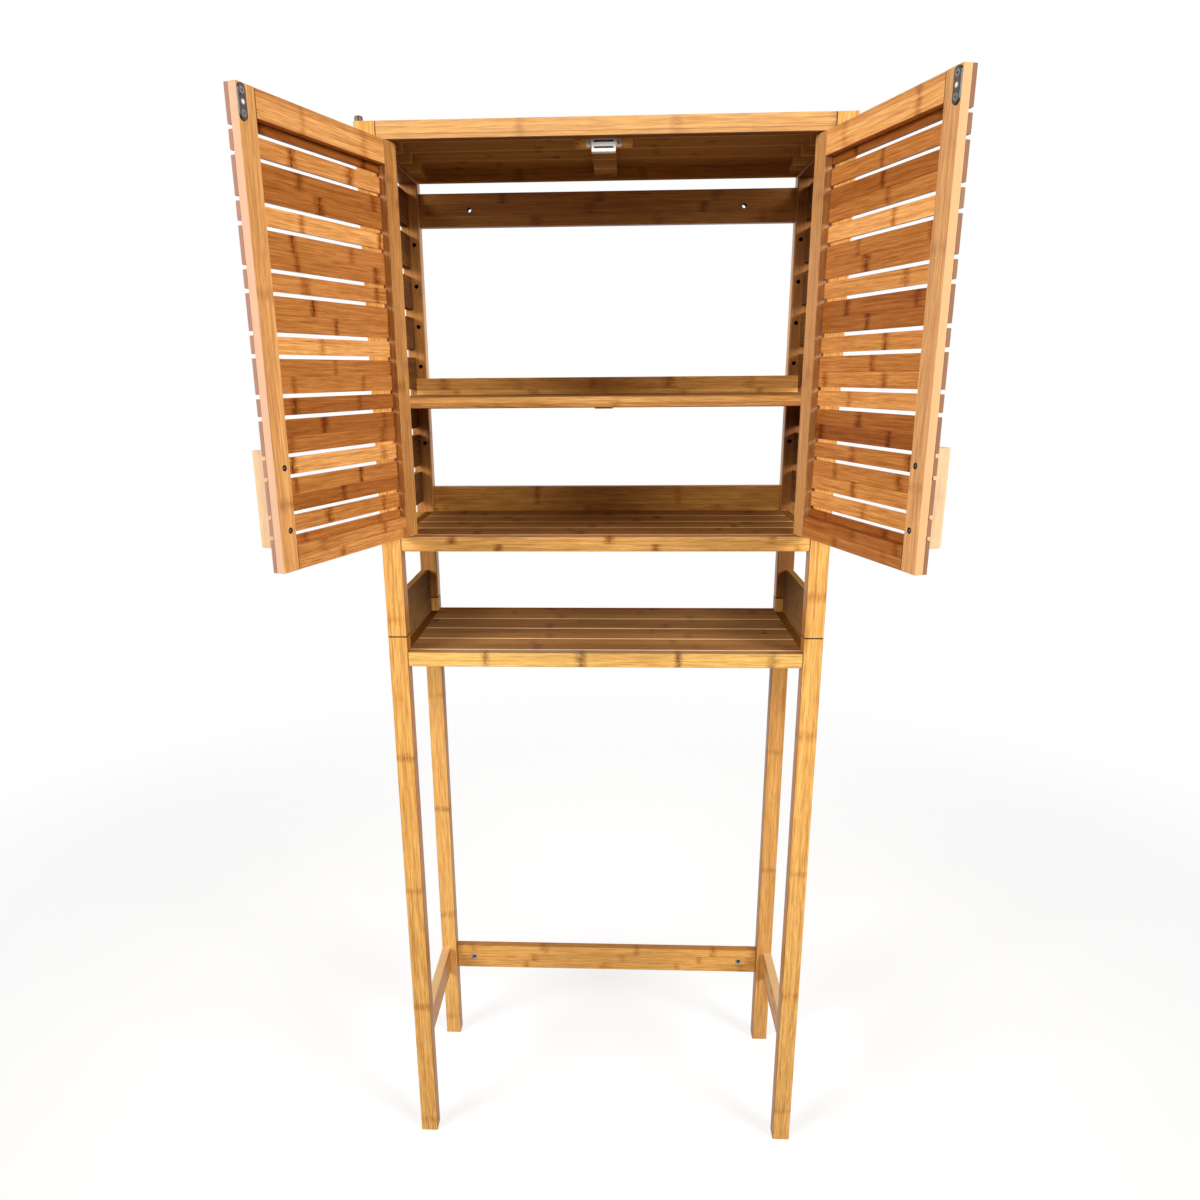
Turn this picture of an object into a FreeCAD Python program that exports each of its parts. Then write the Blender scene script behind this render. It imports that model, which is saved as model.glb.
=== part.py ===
import FreeCAD, Part
import os

# Bamboo bathroom cabinet that stands over a toilet. Four legs carry an open shelf and, on
# posts set on top of the legs, a cabinet with slatted sides and two slatted doors.
# Millimetres. X runs to the right, Y from front to back and Z up. The origin is on the
# floor, midway between the front legs, in the plane of their front faces.
# The doors stand open, as far as the two rest angles say.

# Whole cabinet
overall_width = 660.0
overall_depth = 276.0

# Legs, and the posts that stand on them
leg_height = 932.5
post_height = 707.5
post_width = 29.0
post_depth = 25.0
post_round = 2.0
post_end_round = 1.0
dowel_radius = 5.0
dowel_depth = 25.0
dowel_clearance = 0.1

# Rails and boards between the posts and legs
rail_thickness = 16.0
board_thickness = 16.0
board_height = 50.0
board_round = 1.5
top_rail_height = 23.0
top_rear_rail_height = 26.0
top_side_rail_height = 30.0
floor_rise = 155.0
floor_rail_height = 22.5
floor_back_rise = 42.0
lower_shelf_drop = 24.5
lower_rail_height = 23.0
guard_height = 75.0
stretcher_height = 153.0
upper_back_rail_drop = 43.0
wall_hole_spacing = 440.0
wall_hole_radius = 3.5

# Slats of the top, the cabinet floor and the lower shelf, with the cleats under them
top_slat_count = 4
floor_slat_count = 4
lower_shelf_slat_count = 4
deck_slat_gap = 2.0
deck_slat_thickness = 9.0
deck_slat_round = 1.0
cleat_width = 18.0
rib_width = 35.0

# Slats of the cabinet's sides
side_slat_count = 8
side_slat_gap = 12.5
side_slat_thickness = 13.0
side_slat_rise = 18.5
side_slat_round = 1.5

# Loose shelf on pins, with a row of pin holes in each post
pin_hole_count = 6
pin_hole_drop = 120.0
pin_hole_rise = 117.5
pin_hole_inset = 9.0
holes_above_shelf_count = 4
pin_radius = 3.0
pin_flat = 0.6
pin_clearance = 0.06
pin_seat = 12.0
pin_reach = 10.0
shelf_side_clearance = 1.0
shelf_post_clearance = 1.0
shelf_edge_height = 15.0
shelf_edge_thickness = 14.0
shelf_lip_height = 41.5
shelf_lip_thickness = 12.0
shelf_slat_count = 4
shelf_slat_thickness = 8.0
shelf_rib_width = 26.0
middle_rib_drop = 2.0
shelf_rib_inset = 40.0
shelf_round = 1.5

# Doors: a frame of stiles and rails with slats laid over its outer face
left_rest_angle = 110.0
right_rest_angle = 107.0
door_side_gap = 2.0
door_meeting_gap = 3.0
door_end_clearance = 1.5
door_recess = 1.5
frame_thickness = 11.0
stile_width = 28.0
door_rail_height = 30.0
frame_round = 1.0
door_slat_thickness = 5.0
door_slat_gap = 4.75
door_slat_round = 0.8
wide_slat_count = 8
wide_to_narrow_share = 2.0
hinge_end_round = 3.0

# Pivot pins of the doors, in the rails above and below them
pivot_inset = 11.8
pivot_setback = 9.0
pivot_radius = 2.0
pivot_depth = 12.0
pivot_clearance = 0.06
washer_radius = 6.0

# Handles, screwed on through the two lowest narrow slats
handle_end = 20.75
handle_width = 26.0
handle_depth = 21.0
handle_round = 4.0
handle_edge_inset = 18.5
lower_screw_share = 0.25
upper_screw_share = 0.5

# Wood screws with a cross recess
screw_head_radius = 3.8
screw_head_height = 2.6
screw_shank_radius = 2.0
screw_clearance = 0.1
handle_screw_length = 28.0
strike_screw_length = 10.0
catch_screw_length = 14.0
recess_width = 1.0
recess_depth = 1.4
recess_length_share = 0.6

# Magnetic catch under the top, and the strike plates that meet it
strike_length = 36.0
strike_width = 11.5
strike_thickness = 2.2
strike_round = 0.5
strike_drop = 1.0
strike_edge_inset = 6.25
strike_screw_spacing = 22.0
catch_air = 0.3
catch_width = 32.0
catch_height = 17.0
catch_depth = 11.0
catch_drop = 15.0
catch_round = 1.0
ear_span = 47.0
ear_height = 9.0
ear_thickness = 4.0
ear_screw_head_radius = 2.6
ear_screw_shank_radius = 1.2
pole_width = 26.0
pole_thickness = 2.0
pole_depth = 7.0
pole_recess = 0.6
pole_clearance = 0.2
upper_pole_drop = 3.0
pole_spacing = 7.5
block_width = 77.0
block_depth = 18.0
block_drop = 5.0

# Bolts through the rear legs into barrel nuts in the back stretcher
nut_inset = 34.5
nut_radius = 6.0
nut_length = 14.0
nut_socket_radius = 3.0
nut_socket_depth = 3.0
bolt_radius = 3.0
bolt_head_radius = 5.8
bolt_head_height = 3.5
bolt_overlap = 3.0
bolt_clearance = 0.1

# Domed plug on the top of the left front post
plug_radius = 5.5
plug_height = 7.0
plug_round = 2.0
plug_inset = 6.5
plug_setback = 7.0

# Shared by all cuts and roundings
cut_overrun = 1.0
round_limit_share = 0.45
same_place = 1e-6

# Places that follow from the sizes above
overall_height = leg_height + post_height
floor_height = leg_height + floor_rise
lower_shelf_height = leg_height - lower_shelf_drop
half_width = overall_width / 2
post_inner = half_width - post_width
rear_post_front = overall_depth - post_depth
back_board_front = overall_depth - board_thickness
side_slat_inner = half_width - side_slat_thickness
side_board_inner = half_width - board_thickness
top_rail_bottom = overall_height - top_rail_height
between_posts = (post_depth, rear_post_front)
back_board = (back_board_front, overall_depth)
door_bottom = floor_height + door_end_clearance
door_top = top_rail_bottom - door_end_clearance
door_width = post_inner - door_side_gap - door_meeting_gap / 2
door_thickness = frame_thickness + door_slat_thickness
narrow_slat_count = wide_slat_count - 1
door_slat_room = door_top - door_bottom - (wide_slat_count + narrow_slat_count - 1) * door_slat_gap
narrow_slat_height = door_slat_room / (wide_slat_count * wide_to_narrow_share + narrow_slat_count)
wide_slat_height = narrow_slat_height * wide_to_narrow_share
door_slat_pitch = wide_slat_height + narrow_slat_height + 2 * door_slat_gap
lowest_narrow_slat = door_bottom + wide_slat_height + door_slat_gap
lower_screw_height = lowest_narrow_slat + narrow_slat_height * lower_screw_share
upper_screw_height = lowest_narrow_slat + door_slat_pitch + narrow_slat_height * upper_screw_share
pivot_x = post_inner - pivot_inset
top_pin_height = overall_height - pin_hole_drop
pin_hole_pitch = (top_pin_height - floor_height - pin_hole_rise) / (pin_hole_count - 1)
shelf_bottom = top_pin_height - holes_above_shelf_count * pin_hole_pitch + pin_radius - pin_flat
x_axis = FreeCAD.Vector(1, 0, 0)
y_axis = FreeCAD.Vector(0, 1, 0)
z_axis = FreeCAD.Vector(0, 0, 1)
sides = {"left": -1, "right": 1}


def edges_along(solid, axis):
    """The straight edges that run along one axis: 0 for X, 1 for Y, 2 for Z."""
    found = []
    for edge in solid.Edges:
        run = edge.Vertexes[-1].Point - edge.Vertexes[0].Point
        if abs(abs(run[axis]) - edge.Length) < same_place:
            found.append(edge)
    return found


def edges_at(edges, axis, place):
    """Those edges whose middle lies at one place along an axis."""
    return [edge for edge in edges if abs(edge.CenterOfMass[axis] - place) < same_place]


def bar(x_span, y_span, z_span, rounding=0):
    """A rectangular bar between pairs of coordinates, its long edges rounded."""
    spans = (x_span, y_span, z_span)
    sizes = [abs(span[1] - span[0]) for span in spans]
    solid = Part.makeBox(*sizes, FreeCAD.Vector(*[min(span) for span in spans]))
    if rounding:
        radius = min(rounding, round_limit_share * min(sizes))
        solid = solid.makeFillet(radius, edges_along(solid, sizes.index(max(sizes))))
    return solid


def sided(side, inner, outer):
    """A span of X on the left (-1) or the right (1), given by distances from the middle."""
    return (side * inner, side * outer)


def rod(start, direction, radius, length):
    """A round rod, also the tool for a round hole."""
    return Part.makeCylinder(radius, length, start, direction)


def drill(solid, mouth, direction, radius, depth):
    """A round blind hole from its mouth inwards."""
    return solid.cut(rod(mouth - direction * cut_overrun, direction, radius, depth + cut_overrun))


def screw_shape(head_radius, shank_radius, length):
    """A countersunk screw with its head's top at the origin, pointing down."""
    head = Part.makeCone(head_radius, shank_radius, screw_head_height, FreeCAD.Vector(), -z_axis)
    shank = rod(-z_axis * screw_head_height, -z_axis, shank_radius, length - screw_head_height)
    return head.fuse(shank).removeSplitter()


def placed(solid, at, direction):
    """A shape that points down at the origin, moved so that it points along a direction."""
    solid.Placement = FreeCAD.Placement(at, FreeCAD.Rotation(-z_axis, direction))
    return solid


def screw(at, direction, length, head_radius, shank_radius):
    """A countersunk screw with a cross recess, its head's top at a place."""
    solid = screw_shape(head_radius, shank_radius, length)
    reach = head_radius * recess_length_share
    half = recess_width / 2
    depth_span = (-recess_depth, cut_overrun)
    solid = solid.cut(bar((-reach, reach), (-half, half), depth_span))
    solid = solid.cut(bar((-half, half), (-reach, reach), depth_span))
    return placed(solid, at, direction)


def screw_hole(at, direction, length, head_radius, shank_radius):
    """The tool that cuts a countersunk screw's hole."""
    tool = screw_shape(head_radius + screw_clearance, shank_radius + screw_clearance, length)
    mouth = rod(FreeCAD.Vector(), z_axis, head_radius + screw_clearance, cut_overrun)
    return placed(tool.fuse(mouth), at, direction)


def export(name, *solids):
    """Writes one named piece, or one group of like pieces."""
    shape = solids[0] if len(solids) == 1 else Part.makeCompound(list(solids))
    shape.exportStep("parts/" + name + ".step")


def upright(side, front, bottom, top):
    """A post or leg with rounded edges and eased ends."""
    y_span = (0, post_depth) if front else (rear_post_front, overall_depth)
    solid = bar(sided(side, post_inner, half_width), y_span, (bottom, top), post_round)
    ends = [face for face in solid.Faces if abs(abs(face.normalAt(0, 0).z) - 1) < same_place]
    return solid.makeFillet(post_end_round, [edge for face in ends for edge in face.Edges])


def upright_centre(side, front, height):
    """The middle of a post or leg, at one height."""
    half_depth = post_depth / 2
    y = half_depth if front else overall_depth - half_depth
    return FreeCAD.Vector(side * (half_width - post_width / 2), y, height)


def pin_place(side, front, level):
    """The mouth of one shelf pin hole, on the face that looks across the cabinet's depth."""
    y = post_depth if front else rear_post_front
    z = top_pin_height - level * pin_hole_pitch
    return FreeCAD.Vector(side * (post_inner + pin_hole_inset), y, z)


def post(side, front):
    """A post of the cabinet, with its dowel hole and its row of shelf pin holes."""
    solid = upright(side, front, leg_height, overall_height)
    joint = upright_centre(side, front, leg_height)
    solid = drill(solid, joint, z_axis, dowel_radius + dowel_clearance, dowel_depth)
    inward = -y_axis if front else y_axis
    for level in range(pin_hole_count):
        mouth = pin_place(side, front, level)
        solid = drill(solid, mouth, inward, pin_radius + pin_clearance, pin_seat)
    return solid


def leg(side, front):
    """A leg, with its dowel hole and, at the back, the hole for the stretcher's bolt."""
    solid = upright(side, front, 0, leg_height)
    joint = upright_centre(side, front, leg_height)
    solid = drill(solid, joint, -z_axis, dowel_radius + dowel_clearance, dowel_depth)
    if front:
        return solid
    return solid.cut(bolt_tool(side))


def dowel(side, front):
    """The dowel across a joint of post and leg."""
    foot = upright_centre(side, front, leg_height - dowel_depth)
    return rod(foot, z_axis, dowel_radius, 2 * dowel_depth)


def bolt_outside(side):
    """Where the stretcher's bolt enters the rear leg."""
    y = overall_depth - board_thickness / 2
    return FreeCAD.Vector(side * half_width, y, stretcher_height + board_height / 2)


def nut_place(side):
    """Where a barrel nut's axis leaves the stretcher's front face."""
    z = stretcher_height + board_height / 2
    return FreeCAD.Vector(side * (post_inner - nut_inset), back_board_front, z)


def bolt_length():
    """From the leg's outer face to the far end of the bolt, inside the barrel nut."""
    return post_width + nut_inset + bolt_overlap


def bolt(side):
    """A bolt with a flat round head let into the leg."""
    inward = x_axis * -side
    head = rod(bolt_outside(side), inward, bolt_head_radius, bolt_head_height)
    return head.fuse(rod(bolt_outside(side), inward, bolt_radius, bolt_length())).removeSplitter()


def bolt_tool(side):
    """The stepped hole that the bolt passes through."""
    inward = x_axis * -side
    mouth = bolt_outside(side) - inward * cut_overrun
    head = rod(mouth, inward, bolt_head_radius + bolt_clearance, bolt_head_height + cut_overrun)
    return head.fuse(rod(mouth, inward, bolt_radius + bolt_clearance, bolt_length() + cut_overrun))


def barrel_nut(side):
    """A barrel nut with a socket in its front end and a cross hole for the bolt."""
    solid = rod(nut_place(side), y_axis, nut_radius, nut_length)
    solid = drill(solid, nut_place(side), y_axis, nut_socket_radius, nut_socket_depth)
    return solid.cut(bolt_tool(side))


def back_stretcher():
    """The board low at the back, with holes for the barrel nuts and their bolts."""
    z_span = (stretcher_height, stretcher_height + board_height)
    solid = bar((-post_inner, post_inner), back_board, z_span, board_round)
    for side in sides.values():
        solid = drill(solid, nut_place(side), y_axis, nut_radius + bolt_clearance, nut_length)
        solid = solid.cut(bolt_tool(side))
    return solid


def front_rail(top, height):
    """A rail between the front posts or legs."""
    return bar((-post_inner, post_inner), (0, rail_thickness), (top - height, top), board_round)


def back_rail(bottom, top):
    """A rail or board between the rear posts or legs."""
    return bar((-post_inner, post_inner), back_board, (bottom, top), board_round)


def side_rail(side, bottom, top):
    """A rail as thick as the posts, from the front post or leg to the rear one."""
    return bar(sided(side, post_inner, half_width), between_posts, (bottom, top), board_round)


def side_board(side, bottom, top):
    """A board flush with the outer faces of the posts or legs."""
    return bar(sided(side, side_board_inner, half_width), between_posts, (bottom, top), board_round)


def deck_slats(top, count):
    """Slats across the width, with a gap on each side of every slat."""
    room = back_board_front - rail_thickness
    width = (room - (count + 1) * deck_slat_gap) / count
    slats = []
    for place in range(count):
        front = rail_thickness + deck_slat_gap + place * (width + deck_slat_gap)
        z_span = (top - deck_slat_thickness, top)
        slats.append(bar((-post_inner, post_inner), (front, front + width), z_span, deck_slat_round))
    return slats


def deck_cleats(top, rail_height, rib_front):
    """Cleats under the slats' ends and a rib under their middle."""
    z_span = (top - rail_height, top - deck_slat_thickness)
    y_span = (rail_thickness, back_board_front)
    cleats = []
    for side in sides.values():
        cleats.append(bar(sided(side, post_inner - cleat_width, post_inner), y_span, z_span))
    rib = bar((-rib_width / 2, rib_width / 2), (rib_front, back_board_front), z_span)
    return cleats + [rib]


def side_slats(side):
    """Level slats between the posts, spaced evenly below the top side rail."""
    top = overall_height - top_side_rail_height
    room = top - floor_height - side_slat_rise
    height = room / side_slat_count - side_slat_gap
    slats = []
    for place in range(side_slat_count):
        upper = top - side_slat_gap - place * (height + side_slat_gap)
        x_span = sided(side, side_slat_inner, half_width)
        slats.append(bar(x_span, between_posts, (upper - height, upper), side_slat_round))
    return slats


def shelf_pin(side, front):
    """A shelf pin, flat on top where the shelf lies on it."""
    outward = y_axis if front else -y_axis
    mouth = pin_place(side, front, holes_above_shelf_count)
    solid = rod(mouth - outward * pin_seat, outward, pin_radius, pin_seat + pin_reach)
    ends = [mouth.y, mouth.y + outward.y * (pin_reach + cut_overrun)]
    x_span = (mouth.x - pin_radius - cut_overrun, mouth.x + pin_radius + cut_overrun)
    return solid.cut(bar(x_span, ends, (shelf_bottom, shelf_bottom + pin_radius)))


def shelf():
    """The loose shelf: front edge, back lip, slats and ribs."""
    half = side_slat_inner - shelf_side_clearance
    x_span = (-half, half)
    front = post_depth + shelf_post_clearance
    back = rear_post_front - shelf_post_clearance
    top = shelf_bottom + shelf_edge_height
    slat_front = front + shelf_edge_thickness
    slat_back = back - shelf_lip_thickness
    edge = bar(x_span, (front, slat_front), (shelf_bottom, top), shelf_round)
    lip = bar(x_span, (slat_back, back), (shelf_bottom, shelf_bottom + shelf_lip_height), shelf_round)
    pitch = (slat_back - slat_front - deck_slat_gap) / shelf_slat_count
    slats = []
    for place in range(shelf_slat_count):
        near = slat_front + deck_slat_gap + place * pitch
        y_span = (near, near + pitch - deck_slat_gap)
        slats.append(bar(x_span, y_span, (top - shelf_slat_thickness, top), deck_slat_round))
    reach = half - shelf_rib_inset - shelf_rib_width / 2
    ribs = []
    for middle, drop in ((-reach, 0), (0, middle_rib_drop), (reach, 0)):
        rib_span = (middle - shelf_rib_width / 2, middle + shelf_rib_width / 2)
        z_span = (shelf_bottom - drop, top - shelf_slat_thickness)
        ribs.append(bar(rib_span, (slat_front, slat_back), z_span))
    export("shelf_front_edge", edge)
    export("shelf_back_lip", lip)
    export("shelf_slats", *slats)
    export("shelf_ribs", *ribs)


def pivot_mouth(side, height):
    """Where a door's pivot axis crosses one height."""
    return FreeCAD.Vector(side * pivot_x, pivot_setback, height)


def turned(solid, side):
    """A piece of a shut door, turned with it to the door's rest angle."""
    angle = -left_rest_angle if side < 0 else right_rest_angle
    solid = solid.copy()
    solid.rotate(pivot_mouth(side, 0), z_axis, angle)
    return solid


def door_span(side, near, far):
    """A span of X on a shut door, by distances from the door's hinge edge."""
    hinge_edge = post_inner - door_side_gap
    return (side * (hinge_edge - near), side * (hinge_edge - far))


def door_depth(near, far):
    """A span of Y on a shut door, by distances behind its outer face."""
    return (door_recess + near, door_recess + far)


def door_slats(side, tools):
    """Wide and narrow slats in turn, their hinge ends rounded to clear the post."""
    groups = {"wide": [], "narrow": []}
    upper = door_top
    for place in range(wide_slat_count + narrow_slat_count):
        kind = "narrow" if place % 2 else "wide"
        height = narrow_slat_height if place % 2 else wide_slat_height
        x_span = door_span(side, 0, door_width)
        slat = bar(x_span, door_depth(0, door_slat_thickness), (upper - height, upper))
        hinge_edges = edges_at(edges_along(slat, 2), 0, x_span[0])
        slat = slat.makeFillet(hinge_end_round, edges_at(hinge_edges, 1, door_recess))
        outer_edges = edges_at(edges_along(slat, 0), 1, door_recess)
        slat = slat.makeFillet(door_slat_round, outer_edges)
        for tool in tools:
            slat = slat.cut(tool)
        groups[kind].append(slat)
        upper -= height + door_slat_gap
    return groups


def door_stile(side, near, far):
    """An upright of the door's frame, as tall as the door."""
    y_span = door_depth(door_slat_thickness, door_thickness)
    return bar(door_span(side, near, far), y_span, (door_bottom, door_top), frame_round)


def door_rail(side, bottom):
    """A rail of the door's frame, between the stiles."""
    x_span = door_span(side, stile_width, door_width - stile_width)
    y_span = door_depth(door_slat_thickness, door_thickness)
    return bar(x_span, y_span, (bottom, bottom + door_rail_height), frame_round)


def handle(side):
    """An upright bar on the outer face, with rounded outer edges and ends."""
    middle = door_width - handle_edge_inset
    x_span = door_span(side, middle - handle_width / 2, middle + handle_width / 2)
    z_span = (lower_screw_height - handle_end, upper_screw_height + handle_end)
    solid = bar(x_span, (door_recess - handle_depth, door_recess), z_span)
    front = door_recess - handle_depth
    rounded = edges_at(edges_along(solid, 2), 1, front) + edges_at(edges_along(solid, 0), 1, front)
    return solid.makeFillet(handle_round, rounded)


def strike_plate(side, centre):
    """A plate with round ends on the free stile's inner face."""
    radius = strike_width / 2
    straight = strike_length - strike_width
    foot = centre - z_axis * (straight / 2)
    x_span = (centre.x - radius, centre.x + radius)
    y_span = (centre.y - strike_thickness, centre.y)
    solid = bar(x_span, y_span, (foot.z, foot.z + straight))
    for middle in (foot, foot + z_axis * straight):
        solid = solid.fuse(rod(middle, -y_axis, radius, strike_thickness))
    solid = solid.removeSplitter()
    return solid.makeFillet(strike_round, edges_at(solid.Edges, 1, centre.y))


def door(name, side):
    """One door with its handle, screws and strike plate, turned to its rest angle."""
    inner_face = door_recess + door_thickness
    screw_x = door_span(side, door_width - handle_edge_inset, 0)[0]
    screw_places = []
    for z in (lower_screw_height, upper_screw_height):
        screw_places.append(FreeCAD.Vector(screw_x, inner_face, z))
    screw_size = (handle_screw_length, screw_head_radius, screw_shank_radius)
    strike_size = (strike_screw_length, screw_head_radius, screw_shank_radius)
    handle_tools = [screw_hole(at, -y_axis, *screw_size) for at in screw_places]
    strike_x = door_span(side, door_width - strike_edge_inset, 0)[0]
    strike_z = door_top - strike_drop - strike_length / 2
    strike_face = FreeCAD.Vector(strike_x, inner_face + strike_thickness, strike_z)
    strike_places = []
    for step in (-1, 1):
        strike_places.append(strike_face + z_axis * (step * strike_screw_spacing / 2))
    strike_tools = [screw_hole(at, -y_axis, *strike_size) for at in strike_places]

    hinge_stile = door_stile(side, 0, stile_width)
    hole_radius = pivot_radius + pivot_clearance
    hinge_stile = drill(hinge_stile, pivot_mouth(side, door_top), -z_axis, hole_radius, pivot_depth)
    hinge_stile = drill(hinge_stile, pivot_mouth(side, door_bottom), z_axis, hole_radius, pivot_depth)
    free_stile = door_stile(side, door_width - stile_width, door_width)
    grip = handle(side)
    for tool in handle_tools:
        free_stile = free_stile.cut(tool)
        grip = grip.cut(tool)
    plate = strike_plate(side, strike_face)
    for tool in strike_tools:
        free_stile = free_stile.cut(tool)
        plate = plate.cut(tool)
    slats = door_slats(side, handle_tools)
    rails = [door_rail(side, door_bottom), door_rail(side, door_top - door_rail_height)]
    handle_screws = [screw(at, -y_axis, *screw_size) for at in screw_places]
    strike = [plate] + [screw(at, -y_axis, *strike_size) for at in strike_places]

    export(name + "_door_hinge_stile", turned(hinge_stile, side))
    export(name + "_door_free_stile", turned(free_stile, side))
    export(name + "_door_rails", *[turned(rail, side) for rail in rails])
    export(name + "_door_wide_slats", *[turned(slat, side) for slat in slats["wide"]])
    export(name + "_door_narrow_slats", *[turned(slat, side) for slat in slats["narrow"]])
    export(name + "_door_handle", turned(grip, side))
    export(name + "_door_handle_screws", *[turned(piece, side) for piece in handle_screws])
    export(name + "_door_strike", *[turned(piece, side) for piece in strike])


def pivot_pins():
    """The pins that the doors turn on, in the rails above and below them."""
    length = 2 * pivot_depth + door_end_clearance
    pins = []
    for side in sides.values():
        for foot in (floor_height - pivot_depth, door_top - pivot_depth):
            pins.append(rod(pivot_mouth(side, foot), z_axis, pivot_radius, length))
    return pins


def pivot_washer(side):
    """The washer that a door's weight rests on."""
    seat = pivot_mouth(side, floor_height)
    solid = rod(seat, z_axis, washer_radius, door_end_clearance)
    return drill(solid, seat, z_axis, pivot_radius + pivot_clearance, door_end_clearance + cut_overrun)


def with_pivot_holes(rail, face, direction):
    """A rail with the holes that hold the doors' pins."""
    hole_radius = pivot_radius + pivot_clearance
    for side in sides.values():
        rail = drill(rail, pivot_mouth(side, face), direction, hole_radius, pivot_depth)
    return rail


def catch_front():
    """The catch's front face, just behind the strike plates of the shut doors."""
    return door_recess + door_thickness + strike_thickness + catch_air


def ear_screw_places():
    """The heads of the catch's two screws, on the front of its ears."""
    y = catch_front() + catch_depth - ear_thickness
    z = top_rail_bottom - catch_drop + catch_height - ear_height / 2
    x = (catch_width / 2 + ear_span / 2) / 2
    return [FreeCAD.Vector(side * x, y, z) for side in sides.values()]


def pole_spans(grow):
    """The boxes of the catch's two pole plates, or of their slots when grown."""
    x_span = (-pole_width / 2 - grow, pole_width / 2 + grow)
    y_span = (catch_front() + pole_recess, catch_front() + pole_recess + pole_depth + grow)
    upper = top_rail_bottom - catch_drop + catch_height - upper_pole_drop
    spans = []
    for top in (upper, upper - pole_spacing):
        spans.append((x_span, y_span, (top - pole_thickness - grow, top + grow)))
    return spans


def catch():
    """The magnetic catch on its block behind the top front rail."""
    bottom = top_rail_bottom - catch_drop
    top = bottom + catch_height
    back = catch_front() + catch_depth
    body = bar((-catch_width / 2, catch_width / 2), (catch_front(), back), (bottom, top), catch_round)
    ears = bar((-ear_span / 2, ear_span / 2), (back - ear_thickness, back), (top - ear_height, top))
    housing = body.fuse(ears).removeSplitter()
    for x_span, y_span, z_span in pole_spans(pole_clearance):
        housing = housing.cut(bar(x_span, (catch_front() - cut_overrun, y_span[1]), z_span))
    block_top = overall_height - deck_slat_thickness
    block_bottom = top_rail_bottom - block_drop
    y_span = (back, back + block_depth)
    block = bar((-block_width / 2, block_width / 2), y_span, (block_bottom, block_top))
    screw_size = (catch_screw_length, ear_screw_head_radius, ear_screw_shank_radius)
    for at in ear_screw_places():
        tool = screw_hole(at, y_axis, *screw_size)
        housing = housing.cut(tool)
        block = block.cut(tool)
    export("catch_block", block)
    export("catch_housing", housing)
    export("catch_pole_plates", *[bar(*spans) for spans in pole_spans(0)])
    export("catch_screws", *[screw(at, y_axis, *screw_size) for at in ear_screw_places()])
    return back + block_depth


def upper_back_rail():
    """The rail under the top at the back, with two holes for fixing to a wall."""
    top = overall_height - upper_back_rail_drop
    solid = back_rail(top - board_height, top)
    for side in sides.values():
        mouth = FreeCAD.Vector(side * wall_hole_spacing / 2, back_board_front, top - board_height / 2)
        solid = drill(solid, mouth, y_axis, wall_hole_radius, board_thickness + cut_overrun)
    return solid


def post_plug():
    """The domed plug on the left front post."""
    foot = FreeCAD.Vector(plug_inset - half_width, plug_setback, overall_height)
    dome = rod(foot, z_axis, plug_radius, plug_height)
    rim = edges_at(dome.Edges, 2, overall_height + plug_height)
    return dome.makeFillet(plug_round, rim)


def uprights():
    """The posts and legs with their dowels."""
    dowels = []
    for name, side in sides.items():
        for place, front in (("front", True), ("rear", False)):
            export(place + "_post_" + name, post(side, front))
            export(place + "_leg_" + name, leg(side, front))
            dowels.append(dowel(side, front))
    export("leg_joint_dowels", *dowels)
    export("post_plug", post_plug())


def both_sides(make, *spans):
    """A piece made on the left and on the right."""
    return [make(side, *spans) for side in sides.values()]


def top_deck():
    """The slatted top, its rails, and the catch under it."""
    rail = front_rail(overall_height, top_rail_height)
    export("top_front_rail", with_pivot_holes(rail, top_rail_bottom, z_axis))
    export("top_rear_rail", back_rail(overall_height - top_rear_rail_height, overall_height))
    side_rail_bottom = overall_height - top_side_rail_height
    export("top_side_rails", *both_sides(side_rail, side_rail_bottom, overall_height))
    export("top_slats", *deck_slats(overall_height, top_slat_count))
    block_back = catch()
    export("top_cleats", *deck_cleats(overall_height, top_rail_height, block_back))
    export("upper_back_rail", upper_back_rail())


def cabinet_floor():
    """The slatted floor of the cabinet, with a back rail that stands above it."""
    bottom = floor_height - floor_rail_height
    rail = front_rail(floor_height, floor_rail_height)
    export("floor_front_rail", with_pivot_holes(rail, floor_height, -z_axis))
    export("floor_back_rail", back_rail(bottom, floor_height + floor_back_rise))
    export("floor_side_rails", *both_sides(side_rail, bottom, floor_height))
    export("floor_slats", *deck_slats(floor_height, floor_slat_count))
    export("floor_cleats", *deck_cleats(floor_height, floor_rail_height, rail_thickness))


def lower_shelf():
    """The slatted shelf at the top of the legs, with a guard board at each end."""
    bottom = lower_shelf_height - lower_rail_height
    guard_top = lower_shelf_height + guard_height
    export("lower_shelf_front_rail", front_rail(lower_shelf_height, lower_rail_height))
    export("lower_shelf_rear_rail", back_rail(bottom, lower_shelf_height))
    export("leg_side_rails", *both_sides(side_rail, bottom, lower_shelf_height))
    export("lower_shelf_slats", *deck_slats(lower_shelf_height, lower_shelf_slat_count))
    export("lower_shelf_cleats", *deck_cleats(lower_shelf_height, lower_rail_height, rail_thickness))
    export("guard_boards", *both_sides(side_board, lower_shelf_height, guard_top))


def stretchers():
    """The boards low between the legs, and the fixings of the one at the back."""
    z_span = (stretcher_height, stretcher_height + board_height)
    export("back_stretcher", back_stretcher())
    export("side_stretchers", *both_sides(side_board, *z_span))
    export("stretcher_bolts", *both_sides(bolt))
    export("stretcher_nuts", *both_sides(barrel_nut))


def cabinet_sides():
    """The slatted sides, and the pins that the loose shelf lies on."""
    pins = []
    for name, side in sides.items():
        export("side_slats_" + name, *side_slats(side))
        for front in (True, False):
            pins.append(shelf_pin(side, front))
    export("shelf_pins", *pins)


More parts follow.
